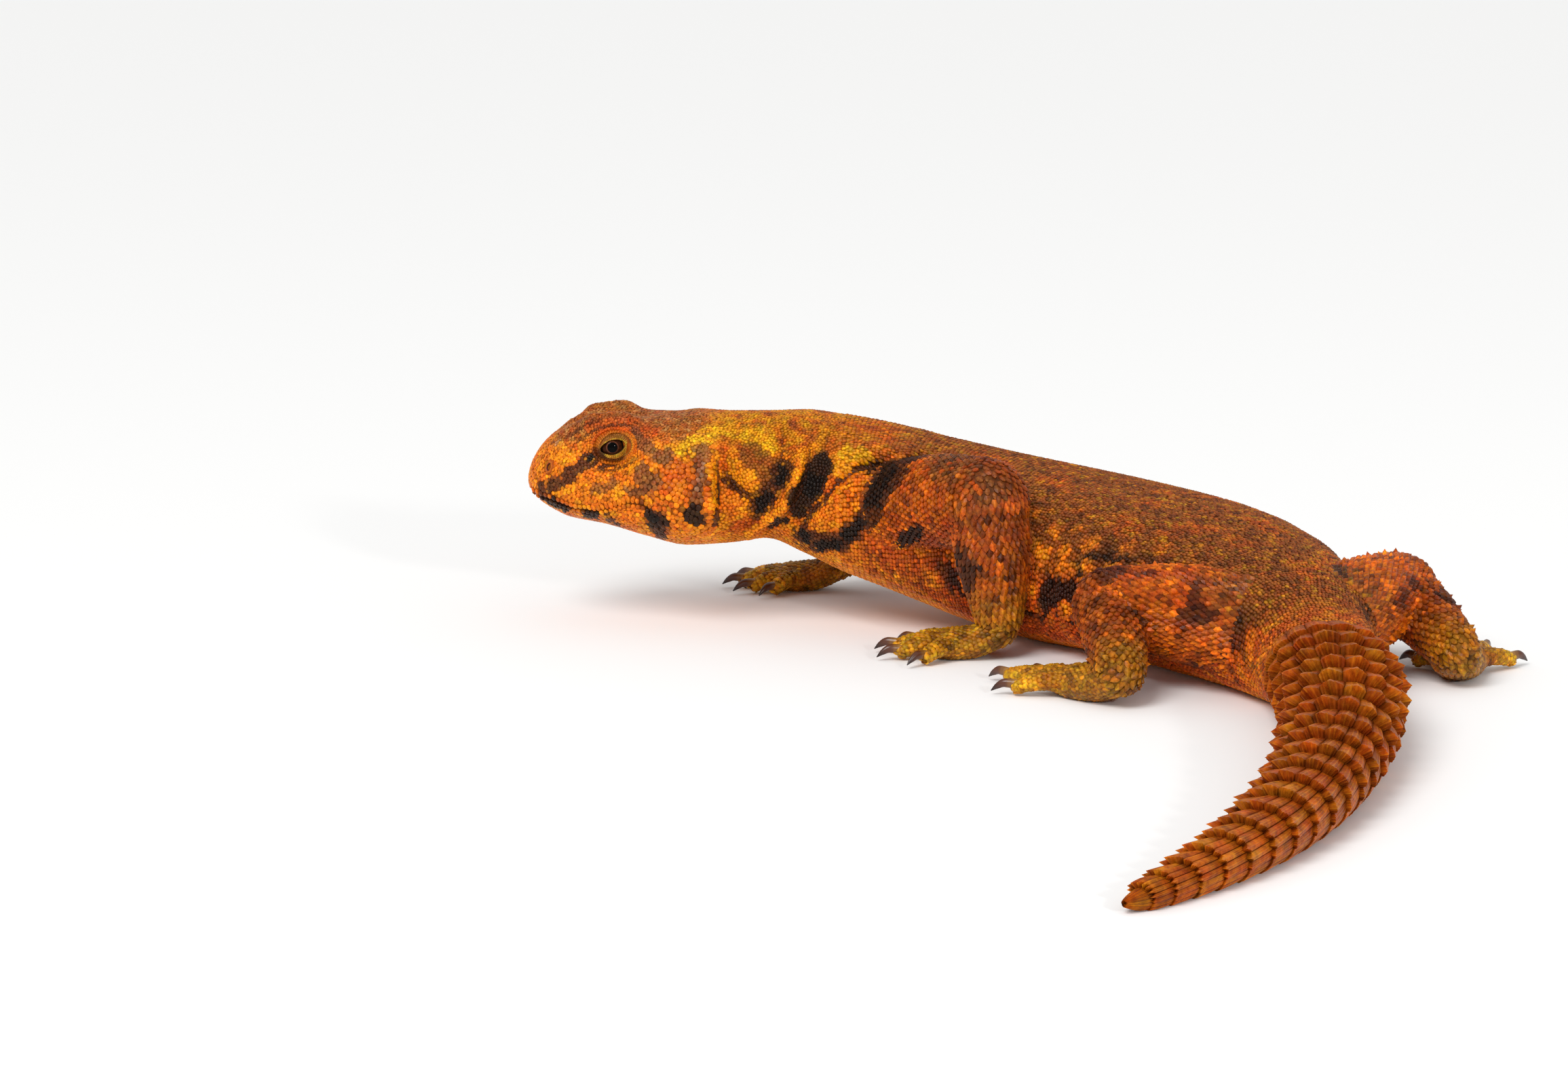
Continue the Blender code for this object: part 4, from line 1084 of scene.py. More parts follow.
def coat_finish(name, roughness, speckle, seam_shade, crest_highlight):
    """Keratin scale: dry and a little waxy; painted shade makes the seams between scales dark and redder, and a painted
    highlight makes each crest yellower.
    """
    material, tree, shader = new_finish(name, roughness, 0.15, 1.54)
    colour, crest = (add_node(tree, "ShaderNodeAttribute", attribute_name=key) for key in ("colour", "crest"))
    place = add_node(tree, "ShaderNodeTexCoord").outputs["Object"]
    grain, patch = (
        add_node(tree, "ShaderNodeTexNoise", {"Vector": place, "Scale": coarse / speckle, "Detail": detail})
        for coarse, detail in ((1, 4.0), (0.5, 3.0))
    )
    vary, warm = (
        add_node(tree, "ShaderNodeMapRange", dict(enumerate(values)))
        for values in ((grain, 0.3, 0.7, 0.6, 1.3), (patch, 0.38, 0.62, 0.0, 1.0))
    )
    # Painted shade at the foot of each scale and a painted highlight on its crest, set by the crest's height
    crest_shade_and_highlight, by_patch = (
        add_node(tree, "ShaderNodeMix", {0: factor, 6: (*low, 1), 7: (*high, 1)}, data_type="RGBA").outputs[2]
        for factor, low, high in (
            (crest.outputs["Fac"], seam_shade, crest_highlight), (warm, (1.08, 0.84, 0.72), (0.97, 1.1, 1.0)),
        )
    )
    tinted = vector_node(tree, "MULTIPLY", colour, vector_node(tree, "MULTIPLY", crest_shade_and_highlight, by_patch))
    bump = add_node(tree, "ShaderNodeBump", {"Height": grain, "Strength": 0.4, "Distance": 0.0002})
    tree.links.new(vector_node(tree, "SCALE", tinted, vary).outputs[0], shader.inputs["Base Color"])
    tree.links.new(bump.outputs[0], shader.inputs["Normal"])
    return material


def skin_finish():
    """Thin hide between the scales: matt and finely creased, with painted shade in its creases, and painted darker than
    the scales as shade in the gaps between them.
    """
    material, tree, shader = new_finish("creased hide", 0.6, 0.15, 1.45)
    colour = add_node(tree, "ShaderNodeAttribute", attribute_name="colour")
    place = add_node(tree, "ShaderNodeTexCoord").outputs["Object"]
    # Creases about 0.9 mm apart
    cells = add_node(tree, "ShaderNodeTexVoronoi", {"Vector": place, "Scale": 1100.0})
    # Each cell is painted darker towards its edge, as shade in the creases
    vary = add_node(tree, "ShaderNodeMapRange", dict(enumerate((cells, 0.0, 0.8, 1.25, 0.6))))
    bump = add_node(tree, "ShaderNodeBump", {"Height": cells, "Strength": 0.6, "Distance": 0.0003}, invert=True)
    tree.links.new(vector_node(tree, "SCALE", colour, vary).outputs[0], shader.inputs["Base Color"])
    tree.links.new(bump.outputs[0], shader.inputs["Normal"])
    return material


def plain_finish(name, roughness, specular, ior=1.5):
    """Smooth wet or horny surface coloured point by point."""
    material, tree, shader = new_finish(name, roughness, specular, ior)
    colour = add_node(tree, "ShaderNodeAttribute", attribute_name="colour")
    tree.links.new(colour.outputs[0], shader.inputs["Base Color"])
    return material


HIDE = skin_finish()
# The last two values of each scale finish are its painted seam shade and its painted crest highlight
SCALE_KERATIN = coat_finish("scale keratin", 0.36, 0.0007, (0.62, 0.48, 0.4), (1.14, 1.18, 1.06))
BODY_KERATIN = coat_finish("body scale keratin", 0.36, 0.0007, (0.42, 0.32, 0.27), (1.2, 1.22, 1.1))
SCUTE_KERATIN = coat_finish("tail scute keratin", 0.45, 0.0012, (0.6, 0.5, 0.42), (1.18, 1.22, 1.1))
CORNEA = plain_finish("wet cornea", 0.04, 0.1, 1.38)
CLAW_HORN = plain_finish("claw horn", 0.3, 0.5, 1.55)
LID_SKIN = plain_finish("lid skin", 0.55, 0.2)
skin.data.materials.clear()
skin.data.materials.append(HIDE)
skin.data.shade_smooth()


# Head and neck: grains packed closely, finer on the snout, crown and round the eyes

# On the side view: middle and half sizes of the lids, and the nostril
LID_CENTRE = (17.9, 43.7)
LID_OUTER = (4.9, 3.9)
NOSTRIL_VIEW = (4.2, 40.1)


def lid_distance(view):
    """1 on the outer edge of the lids, less inside."""
    tilt = math.radians(LID_TILT)
    dx, dy = view[:, 0] - LID_CENTRE[0], view[:, 1] - LID_CENTRE[1]
    u, v = dx * math.cos(tilt) + dy * math.sin(tilt), dy * math.cos(tilt) - dx * math.sin(tilt)
    return np.hypot(u / LID_OUTER[0], v / LID_OUTER[1])


def grain_spacing(view, s, turn):
    """Distance between grains: largest on the cheek, smallest by the eye, on the brow and on the neck."""
    cheek = step_up(view[:, 0], 19, 27) * step_up(turn, 0.9, 1.3) * step_up(-turn, -2.4, -1.9)
    size = 0.7 + 0.36 * cheek * step_up(-view[:, 1], -46, -40)
    size = size - 0.12 * step_up(-turn, -1.0, -0.7)
    size = size - 0.2 * step_up(-lid_distance(view), -1.6, -1.1) * step_up(turn, 0.5, 0.8)
    neck = 0.64 + 0.14 * step_up(turn, 1.0, 1.4)
    return size + (neck - size) * step_up(s, 36, 41)


def bare(points, s, turn, margin=0.0):
    """True at the mouth, the lids, the nostrils and the ear openings, which have their own pieces."""
    view = side_view(points)
    mouth = near_run(view, side_view(mouth_line_points()))
    out = (mouth < 1.05 - margin) & (s < 26) & (turn > 0.9)
    out |= (lid_distance(view) < 0.96 - 0.3 * margin) & (turn > 0.5) & (s < 30)
    nose = np.hypot(view[:, 0] - NOSTRIL_VIEW[0], (view[:, 1] - NOSTRIL_VIEW[1]) * 0.75)
    out |= (nose < 1.0 - margin) & (turn > 0.5)
    out |= (near_run(view, ((39.9, 36), (40.0, 32))) < 0.5 - margin) & (turn > 0.7)
    return out


def darts(count, low, high):
    """Well spaced random places on the body between two stations, with the spacing wanted at each."""
    s = random.uniform(low, high, count)
    s[: count // 12] = random.uniform(0.05, 2.5, count // 12)
    angle = random.uniform(-math.pi, math.pi, count)
    points = body_points(s, angle, -COAT * 0.5)
    turn = np.abs(angle)
    size = grain_spacing(side_view(points), s, turn)
    wanted = np.nonzero(~bare(points, s, turn))[0]
    cells = np.floor(points / 1.45).astype(int).tolist()
    near = [(x, y, z) for x in (-1, 0, 1) for y in (-1, 0, 1) for z in (-1, 0, 1)]
    places, sizes = points.tolist(), (0.42 * size).tolist()
    grid, taken = {}, []
    for i in wanted.tolist():
        kx, ky, kz = cells[i]
        px, py, pz = places[i]
        r = sizes[i]
        clear = True
        for dx, dy, dz in near:
            for qx, qy, qz, q in grid.get((kx + dx, ky + dy, kz + dz), ()):
                if (px - qx) ** 2 + (py - qy) ** 2 + (pz - qz) ** 2 < (r + q) ** 2:
                    clear = False
                    break
            if not clear:
                break
        if clear:
            grid.setdefault((kx, ky, kz), []).append((px, py, pz, r))
            taken.append(i)
    return points[taken], s[taken], angle[taken], size[taken]


def relax(points, size, rounds=7):
    """Pushes close neighbours apart over the skin until the grains are evenly packed."""
    for _ in range(rounds):
        near = kd_tree(points.tolist())
        push = np.zeros_like(points)
        for i, p in enumerate(points.tolist()):
            for q, j, gap in near.find_n(p, 7)[1:]:
                wish = 0.52 * (size[i] + size[j])
                if 1e-6 < gap < wish:
                    share = 0.45 * (wish - gap) / gap
                    push[i] += (share * (p[0] - q[0]), share * (p[1] - q[1]), share * (p[2] - q[2]))
        points = np.array([wrap.find_nearest(p)[0] for p in (points + 0.5 * push).tolist()])
    return points


HEAD_END, NECK_END = 40, 66.4
head_roots, neck_roots = Roots(), Roots()
points, s, angle, size = darts(300000, 0.05, NECK_END)
points = relax(points, size)
inside = ~bare(points, s, np.abs(angle), 0.25)
points, s, angle, size = points[inside], s[inside], angle[inside], size[inside]
lie = on_spine(s)[1]
head = s < HEAD_END
high = (0.17 + 0.12 * step_up(size, 0.75, 1.05))[head]
head_roots.add(
    points[head], lie[head], size[head] * 1.22, size[head] * 1.22, high, 0.12, 0, s[head], angle[head],
    random.uniform(0, 1, head.sum()),
)
neck = ~head
high = np.where(np.abs(angle) > 2.3, 0.22, 0.28)[neck]
neck_roots.add(
    points[neck], lie[neck], size[neck] * 1.12, size[neck] * 1.3, high, 0.2, 0, s[neck], angle[neck],
    random.uniform(-0.3, 0.3, neck.sum()),
)
# Lip scales: one row above the mouth, toothed towards its corner, and one below
line = np.array(MOUTH_LINE)
run = lengths_along(line)
for side in (-1, 1):
    for shift, pitch, long in ((0.6, 0.95, 1.2), (-0.62, 1.0, 0.95)):
        steps = np.arange(0.2, run[-1] + 1.5, pitch)
        x = np.interp(steps, run, line[:, 0]) + np.maximum(0, steps - run[-1]) * 0.9
        z = np.interp(steps, run, line[:, 1]) + shift
        at = np.column_stack([x, side * flank_at(x, z), z])
        tooth = 1 + 0.35 * step_up(x, 11, 15) * step_up(-x, -24, -20) * (shift > 0)
        lie = np.tile((0.25, 0.0, -np.sign(shift)), (len(x), 1))
        head_roots.add(at, lie, pitch * 1.05, long * tooth, 0.4, 0.1, 0, x, np.full(len(x), side * 1.6), keep=3.0)
print("grains", len(points))

# Roots, scale shape and size variation of each coat piece
COATS = {
    "scales_head": (head_roots.settled(), PEBBLE, 0.14),
    "scales_neck": (neck_roots.settled(), GRAIN, 0.12),
}


# Trunk: keeled rows across the back and flanks, square tiles on the belly

def body_rows(stations, pitch_at, first_turn, last_turn):
    """Rows of places across the body between two angles off the back, spaced by a rule of that angle."""
    out = []
    fine = np.linspace(-math.pi, math.pi, 260)
    for number, s in enumerate(stations):
        ring = body_points(np.full(260, s), fine, -COAT * 0.5)
        steps = np.linalg.norm(np.diff(ring, axis=0), axis=1) / pitch_at(np.abs(fine[1:]))
        run = np.concatenate([[0], np.cumsum(steps)])
        count = int(run[-1])
        angle = np.interp((np.arange(count) + (0.5 if number % 2 else 0.0)) * run[-1] / count, run, fine)
        turn = np.abs(angle)
        angle = angle[(turn >= first_turn) & (turn < last_turn)]
        out.append(np.column_stack([np.full(len(angle), s), angle]))
    return np.vstack(out)


def row_lengths(s, angle, pitch):
    """Real distance between rows at each place, which the bend of the body makes longer or shorter, and its way."""
    ahead, behind = body_points(s - pitch / 2, angle), body_points(s + pitch / 2, angle)
    return np.linalg.norm(ahead - behind, axis=1), unit(behind - ahead)


def trunk_pitch(turn):
    """Width of a scale of the trunk, smallest on the back."""
    return 0.73 + 0.29 * step_up(turn, 0.7, 1.3)


# Stations where the rows begin and end, distances between rows, and the angle off the back where the belly begins
ROWS_START, ROWS_END = 66.2, 207.4
ROW_PITCH, BELLY_PITCH = 0.87, 1.3
FLANK_END = 2.32
s, angle = body_rows(np.arange(ROWS_START, ROWS_END, ROW_PITCH), trunk_pitch, 0, FLANK_END).T
s, angle = s + random.uniform(-0.13, 0.13, len(s)), angle + random.uniform(-0.011, 0.011, len(s))
length, lie = row_lengths(s, angle, ROW_PITCH)
keep = random.random(len(s)) < np.clip(length / 0.68, 0.5, 1)
s, angle, length, lie = s[keep], angle[keep], length[keep], lie[keep]
turn = np.abs(angle)
trunk_roots, belly_roots = Roots(), Roots()
trunk_roots.add(
    body_points(s, angle, -COAT * 0.5), lie, trunk_pitch(turn) * 1.08, np.maximum(length * 1.45, 1.0),
    0.34 + 0.16 * step_up(turn, 0.8, 1.3), 0.16, 0, s, angle, random.uniform(-0.12, 0.12, len(s)),
)
COATS["scales_trunk"] = (trunk_roots.settled(0.45), SHINGLE, 0.1)
belly_stations = np.arange(ROWS_START, ROWS_END, BELLY_PITCH)
s, angle = body_rows(belly_stations, lambda turn: BELLY_PITCH + 0 * turn, FLANK_END, 9).T
length, lie = row_lengths(s, angle, BELLY_PITCH)
belly_roots.add(body_points(s, angle, -COAT * 0.5), lie, 1.27, length * 1.02, 0.3, 0.05, 0, s, angle, keep=3.0)
COATS["scales_belly"] = (belly_roots.settled(), TILE, 0.04)


# Legs: keeled scales in rings, with pointed ones among them on the hind legs

def limb_roots(limb, pitch):
    """Places, ways, shares of the length and angles of the scales in rings round a limb."""
    steps = np.arange(0.3, limb.run[-1] + (limb.radii[-1] * 0.5 if limb.kind == "digit" else 0), pitch * 0.92)
    out = []
    for row, u in enumerate(steps):
        radius = np.interp(u, limb.run, limb.radii) * (1 + limb.flat) / 2
        count = max(6, int(math.tau * radius / pitch))
        angle = math.tau * (np.arange(count) + (0.5 if row % 2 else 0)) / count
        out.append(np.column_stack([np.full(count, u), angle]))
    u, angle = np.vstack(out).T
    inside = np.minimum(u, limb.run[-1])
    points = limb.points(inside, angle, -COAT * 0.5)
    points += limb.tangents[-1] * (u - inside)[:, None] * 0.6
    lie = np.column_stack([np.interp(inside, limb.run, limb.tangents[:, c]) for c in range(3)])
    return points, lie, inside / limb.run[-1], angle


LEG_PITCH = {("upper", "fore"): 1.2, ("lower", "fore"): 1.45, ("upper", "hind"): 1.25, ("lower", "hind"): 1.4}
leg_roots = {"fore": Roots(), "hind": Roots()}
foot_roots, spine_roots = Roots(), Roots()
for number, limb in enumerate(LIMBS, 1):
    if limb.kind in ("upper", "lower"):
        pitch = LEG_PITCH[(limb.kind, limb.leg)]
        points, lie, share, angle = limb_roots(limb, pitch)
        spin, shade = random.uniform(-0.25, 0.25, len(share)), random.uniform(0.75, 1.2, len(share))
        leg_roots[limb.leg].add(
            points, lie, pitch * 1.14, pitch * 1.45, 0.62, 0.2, number, np.clip(share, 0, 1), angle, spin, shade,
            keep=0.75,
        )
        if limb.leg == "hind":
            pick = (random.random(len(share)) < (0.05 if limb.kind == "upper" else 0.1)) & (points[:, 2] > 6)
            pale = random.uniform(1.0, 1.9, pick.sum())
            spine_roots.add(
                points[pick], lie[pick], 1.45, 1.8, 1.15, 0.4, number, share[pick], angle[pick], 0, pale, keep=0.75
            )
    else:
        pitch = 1.0 if limb.kind == "digit" else 1.05
        points, lie, share, angle = limb_roots(limb, pitch)
        top = np.cos(angle) > -0.2
        tip = 1 + (0.4 * step_up(share, 0.5, 1.0) if limb.kind == "digit" else 0)
        foot_roots.add(
            points, lie, pitch * 1.15 * tip, pitch * 1.45, np.where(top, 0.42, 0.25), np.where(top, 0.26, 0.12),
            number, share, angle, 0, random.uniform(0.75, 1.35, len(share)), keep=0.75,
        )
COATS["scales_forelegs"] = (leg_roots["fore"].settled(0.55), KEELED, 0.12)
COATS["scales_hindlegs"] = (leg_roots["hind"].settled(0.55), KEELED, 0.15)
COATS["scales_feet"] = (foot_roots.settled(), SHINGLE, 0.12)
COATS["spines_hindlegs"] = (spine_roots.settled(), CONE, 0.2)


# Elbows, knees, heels and creases, where the rows leave the skin bare

def fill_bare_skin(reach=0.82, apart=1.05):
    """Scales on every bare place of the skin, lying the way of the nearest one."""
    at, along = (np.vstack([rows[0][i] for rows in COATS.values()]) for i in (0, 2))
    near = kd_tree(at.tolist())
    left_bare = (skin_part == 0) & ((skin_s > ROWS_END - 0.4) | bare(skin_co, skin_s, folded(skin_a)))
    picked, ways, grid = [], [], {}
    for i in random.permutation(np.nonzero(~left_bare)[0]).tolist():
        p = skin_co[i].tolist()
        _, nearest_one, gap = near.find(p)
        if gap < reach:
            continue
        x, y, z = (int(c // 1.2) for c in p)
        cells = ((x + dx, y + dy, z + dz) for dx in (-1, 0, 1) for dy in (-1, 0, 1) for dz in (-1, 0, 1))
        if not any(math.dist(p, q) < apart for cell in cells for q in grid.get(cell, ())):
            grid.setdefault((x, y, z), []).append(p)
            picked.append(i)
            ways.append(along[nearest_one])
    roots = Roots()
    roots.add(
        skin_co[picked], np.array(ways) + random.uniform(-0.1, 0.1, (len(picked), 3)), 1.3, 1.6, 0.42, 0.16,
        skin_part[picked], skin_s[picked], skin_a[picked], keep=2,
    )
    print("filled", len(picked))
    return roots.settled()


COATS["scales_joints"] = (fill_bare_skin(), KEELED, 0.15)
for number, (name, (settled, shape, variation)) in enumerate(COATS.items()):
    finish = SCALE_KERATIN if name in ("scales_head", "scales_neck", "scales_feet") else BODY_KERATIN
    grow_scales(name, settled, shape, finish, variation, 10 * number)


# Tail: whorls of long ridged scutes, each ending in a spine

SCUTES_ROUND = 18
# Where the tail begins to close, its very tip, and how far a scute reaches under the one before
TIP_START, TAIL_TIP = 344, 351.5
OVERLAP = 0.6


def whorl_edges():
    """Stations between the whorls. The trunk's rows cover the first whorl, and a short last one goes round the tip."""
    edges = [TAIL_START]
    while edges[-1] + float(smooth(WHORL_LENGTH, edges[-1])) < TIP_START:
        edges.append(edges[-1] + float(smooth(WHORL_LENGTH, edges[-1])))
    return edges[1:] + [(edges[-1] + TAIL_TIP) / 2, TAIL_TIP]


def tail_surface(s, angle):
    """Points on the tail and its pointed tip, and the way out from its middle."""
    points = body_points(s, angle)
    middle = on_spine(s)[0]
    middle[:, 2] = smooth(MIDDLE, s)
    past = np.clip((s - TIP_START) / (TAIL_TIP - TIP_START), 0, 1)
    return middle + (points - middle) * (1 - past**2.2)[:, None], unit(points - middle)


def plate_faces(rows, cols):
    """Faces of a closed plate: its upper points come first, row by row, and then the lower ones."""
    n = rows * cols
    faces = []
    for a in (r * cols + c for r in range(rows - 1) for c in range(cols - 1)):
        faces += [(a, a + 1, a + cols + 1, a + cols), (a + n, a + n + cols, a + n + cols + 1, a + n + 1)]
    rim = [r * cols for r in range(rows)] + [(rows - 1) * cols + c for c in range(1, cols)]
    rim += [r * cols + cols - 1 for r in range(rows - 2, -1, -1)] + list(range(cols - 2, 0, -1))
    return faces + [(a, c, c + n, a + n) for a, c in zip(rim, rim[1:] + rim[:1])]


def tail_scutes():
    """Every scute as one closed curved plate, with its ridges, its spine and its colour, with painted shade and
    highlights.
    """
    points, faces, colours, crests, uv = [], [], [], [], []
    half_row = np.array([0.14, 0.32, 0.44, 0.56, 0.72, 0.9, 1.0])
    across = np.concatenate([-half_row[::-1], [0], half_row])
    along = np.array([0, 0.12, 0.3, 0.5, 0.7, 0.86, 1.0])
    A, B = np.meshgrid(across, along)
    a, b = np.abs(A.ravel()), B.ravel()
    n = len(a)
    pattern = plate_faces(len(along), len(across))
    teeth = np.where(np.arange(len(across)) % 2, 0.3, 0.0)
    tooth = np.maximum(0, 1 - np.abs(A) / 0.85)
    line = 0.7 * bell(a, 0.07) + 0.5 * bell(a - 0.44, 0.06)
    half = math.pi / SCUTES_ROUND
    draw = np.random.default_rng(21)
    edges = whorl_edges()
    for w, (start, end) in enumerate(zip(edges[:-1], edges[1:])):
        back, out = float(smooth(SPINE_BACK, end)), float(smooth(SPINE_OUT, end))
        for k in range(SCUTES_ROUND):
            centre = 2 * half * (k + 0.5 + 0.12 * (w % 2))
            top_share = min(1.0, max(0.0, (math.cos(centre) + 0.35) / 0.95)) * float(step_up(end, 200, 226))
            share = 0.0 if end == TAIL_TIP else top_share * draw.uniform(0.82, 1.12)
            tint = draw.uniform(0.8, 1.12)
            pale = draw.uniform(0.5, 0.95) if draw.random() < 0.12 else draw.uniform(0, 0.3)
            base = (TAIL_RUST * (1 - pale) + TAIL_AMBER * pale) * tint
            reach = start - OVERLAP + B * (end - start + OVERLAP)
            reach += B**3 * (share * back * 1.25 * tooth**1.4 + teeth - 0.25)
            rise = 0.1 + 0.35 * B + share * out * B**1.2 * (0.55 + 0.6 * tooth)
            rise += 0.12 * bell(A, 0.1) * step_up(B, 0.0, 0.3)
            rise += 0.07 * bell(np.abs(A) - 0.44, 0.1) * step_up(B, 0.0, 0.25)
            rise -= 0.25 * (np.abs(A) > 0.95) + (0.7 * (1 - B) ** 2 if w == 0 else 0)
            flat_s, flat_a = reach.ravel(), (centre + A * half * 0.99).ravel()
            top, away = tail_surface(flat_s, flat_a)
            top = top + away * rise.ravel()[:, None]
            bottom, _ = tail_surface(np.clip(flat_s, start - OVERLAP, end + 0.4), flat_a)
            both = np.vstack([top, bottom - away * 0.5])
            both[:, 2] = np.maximum(both[:, 2], 0.0)
            faces += shifted(pattern, 2 * n * len(points))
            points.append(both)
            cloud = mottle(top, 2.2, 6.3)
            # Painted shade darkens each scute at its front, under the one before, and at its sides, with a painted
            # shadow on its front edge and a painted highlight along its ridges; the dark blotches are its own colour
            upper = paint(
                base * (0.75 + 0.25 * b - 0.25 * (a > 0.85) + 0.22 * cloud)[:, None],
                (UMBER, 0.6 * step_up(-cloud, 0.1, 0.6) * (1 - line)),
                (TAIL_AMBER, 0.55 * line * step_up(b, 0.05, 0.3)),
                (DARK_BROWN, 0.6 * step_up(-b, -0.14, 0.0)),
            )
            # The underside of each scute is painted dark as shade
            colours.append(np.vstack([np.clip(upper, 0.003, 1), np.tile(base * 0.45, (n, 1))]))
            # Its crest, higher on the ridges and towards the rear, sets the finish's painted shade and highlight
            crests.append(np.concatenate([np.clip(0.5 + 0.3 * b + 0.3 * line, 0, 1), np.full(n, 0.3)]))
            place = (0.02 + 0.96 * end / UNWRAP_LENGTH, 0.02 + 0.55 * (((centre + math.pi) % math.tau) / math.tau))
            local = np.array(place) + np.column_stack([A.ravel(), b * 2 - 1]) * PATCH / 2
            uv.append(np.vstack([local, local]))
    return np.vstack(points), faces, np.vstack(colours), np.concatenate(crests), np.vstack(uv)


points, faces, colours, crests, uv = tail_scutes()
tail = mesh_piece("tail_scutes", points, faces, SCUTE_KERATIN, smooth_faces=False)
give_colour(tail.data, colours)
give(tail.data, "crest", "FLOAT", crests)
write(tail.data.uv_layers.new(name="OFBake").data, "uv", uv[read(tail.data.loops, "vertex_index", kind=np.int32)])
print("tail scutes", triangles_in(tail.data), "triangles")


# Eyes, lids, nostrils and claws

# The opening sits a little behind and above the middle of the eyeball, and the lids are broadest behind it
GAZE = (0.42, 0.3)
OPENING = (2.25, 1.42)
LID_BAND = (0.75, 3.35, 2.6)
LID_EDGE = (0.25, 4.9, 3.9)


def lid_frame(side):
    """Middle of the eyeball, and the ways back along the lids, up across them and out of the head."""
    tilt = math.radians(LID_TILT)
    centre = np.array([EYE_AT[0], side * EYE_AT[1], EYE_AT[2]])
    behind = np.array([math.cos(tilt), 0, math.sin(tilt)])
    above = np.array([-math.sin(tilt), 0, math.cos(tilt)])
    return centre, behind, above, np.array([0, side, 0.0])


def lid_place(angle, share):
    """Place on the lids, back and up from the middle of the opening."""
    co, si = np.cos(angle), np.sin(angle)
    corner = 0.7 * np.where(co < 0, co**6, 0.25 * co**6)
    inner = (OPENING[0] * co + corner * np.sign(co), OPENING[1] * si)
    band = (LID_BAND[0] + LID_BAND[1] * co, LID_BAND[2] * si)
    edge = (LID_EDGE[0] + LID_EDGE[1] * co, LID_EDGE[2] * si)
    first, second = np.clip(share / 0.42, 0, 1), np.clip((share - 0.42) / 0.58, 0, 1)
    return tuple(i + (m - i) * first + (e - m) * second for i, m, e in zip(inner, band, edge))


def lid_surface(side, angle, share):
    """Points of the lids from their inner edge, at share 0, out to the skin at 1."""
    centre, behind, above, out = lid_frame(side)

    def skin_over(place):
        """How far out of the head the skin is over a place, or None beside the head."""
        hit = wrap.ray_cast(Vector(place + out * 12), Vector(-out))[0]
        return None if hit is None else (hit - Vector(centre)).dot(Vector(out))

    def in_plane(share):
        u, v = lid_place(angle, share)
        return u + GAZE[0], v + GAZE[1]

    u, v = in_plane(share)
    hug = np.sqrt(np.maximum((EYE_RADIUS + 0.2) ** 2 - u**2 - v**2, 0.0))
    u1, v1 = in_plane(np.ones_like(angle))
    edge = centre + behind * u1[:, None] + above * v1[:, None]
    outer = np.array([1.0 if far is None else far - 0.4 for far in (skin_over(p) for p in edge)])
    blend, upper = step_up(share, 0.3, 1.0), step_up(np.sin(angle), -0.3, 0.5)
    high = np.maximum(hug, 1.9) * (1 - blend) + outer * blend
    high += 0.42 * step_up(share, 0.0, 0.1) * step_up(-share, -0.75, -0.2)
    # The crease round the inner band, and a fold with its crease on the upper lid
    high -= (0.2 + 0.22 * upper) * bell(share - 0.44, 0.045)
    high += upper * (0.22 * bell(share - 0.58, 0.09) - 0.25 * bell(share - 0.76, 0.05))
    high = np.where(share < 0.02, high - 0.5, high)
    places = centre + behind * u[:, None] + above * v[:, None]
    for i in np.nonzero(share >= 0.38)[0]:
        far = skin_over(places[i])
        if far is not None:
            high[i] = max(high[i], far + (0.1 if share[i] < 0.9 else 0.1 - 4 * (share[i] - 0.9)))
    return places + out * high[:, None]


def lid_colour(angle, share):
    """Yellow inner band, orange outside it, with dark edge, front corner and lower rim, and painted shade in the
    creases and under the upper lid.
    """
    co, si = np.cos(angle), np.sin(angle)
    beneath = step_up(-si, 0.1, 0.5) * step_up(-np.abs(co + 0.25), -0.8, -0.5)
    return paint(
        np.tile(tone("#A87E22"), (len(angle), 1)),
        (tone("#A8702A"), step_up(share, 0.2, 0.4)),
        (ORANGE, step_up(share, 0.44, 0.56)),
        # Painted shade in the crease round the inner band
        (DARK_BROWN, bell(share - 0.43, 0.05) * 0.8),
        (RED_ORANGE, step_up(share, 0.7, 0.9) * step_up(si, 0.2, 0.6) * 0.6),
        (DARK_BROWN, beneath * step_up(share, 0.4, 0.5) * step_up(-share, -0.8, -0.68) * 0.8),
        (DARK_BROWN, step_up(-co, 0.6, 0.88) * step_up(-si, -0.45, 0.1) * 0.9),
        # Painted shade under the upper lid, over the top of the band
        (BROWN, step_up(si, -0.1, 0.5) * step_up(share, 0.08, 0.16) * step_up(-share, -0.44, -0.36) * 0.75),
        # Painted shade on the fold and in the crease of the upper lid
        (BROWN, step_up(share, 0.5, 0.62) * step_up(-share, -0.8, -0.7) * step_up(si, 0.1, 0.6) * 0.5),
        (BLACK, step_up(-share, -0.1, -0.04) * 0.9),
    )


def make_lids(side, word):
    """Both lids of one eye as a closed ring of flesh round the opening."""
    count = 120
    shares = (0, 0.03, 0.06, 0.1, 0.15, 0.2, 0.26, 0.32, 0.38, 0.42, 0.46, 0.5, 0.56, 0.63, 0.7, 0.76, 0.82, 0.9, 1.0)
    angle = round_angles(count)
    rings = [lid_surface(side, angle, np.full(count, float(q))) for q in shares]
    rings.append(rings[-1] - lid_frame(side)[3])
    pairs = [(r * count, (r + 1) % len(rings) * count) for r in range(len(rings))]
    faces = [face for a, b in pairs for face in strip_faces(a, b, count)]
    piece = mesh_piece(f"lids_{word}", np.vstack(rings), faces, LID_SKIN)
    give_colour(piece.data, np.vstack([lid_colour(angle, np.full(count, q)) * 0.85 for q in [*shares, 1.0]]))


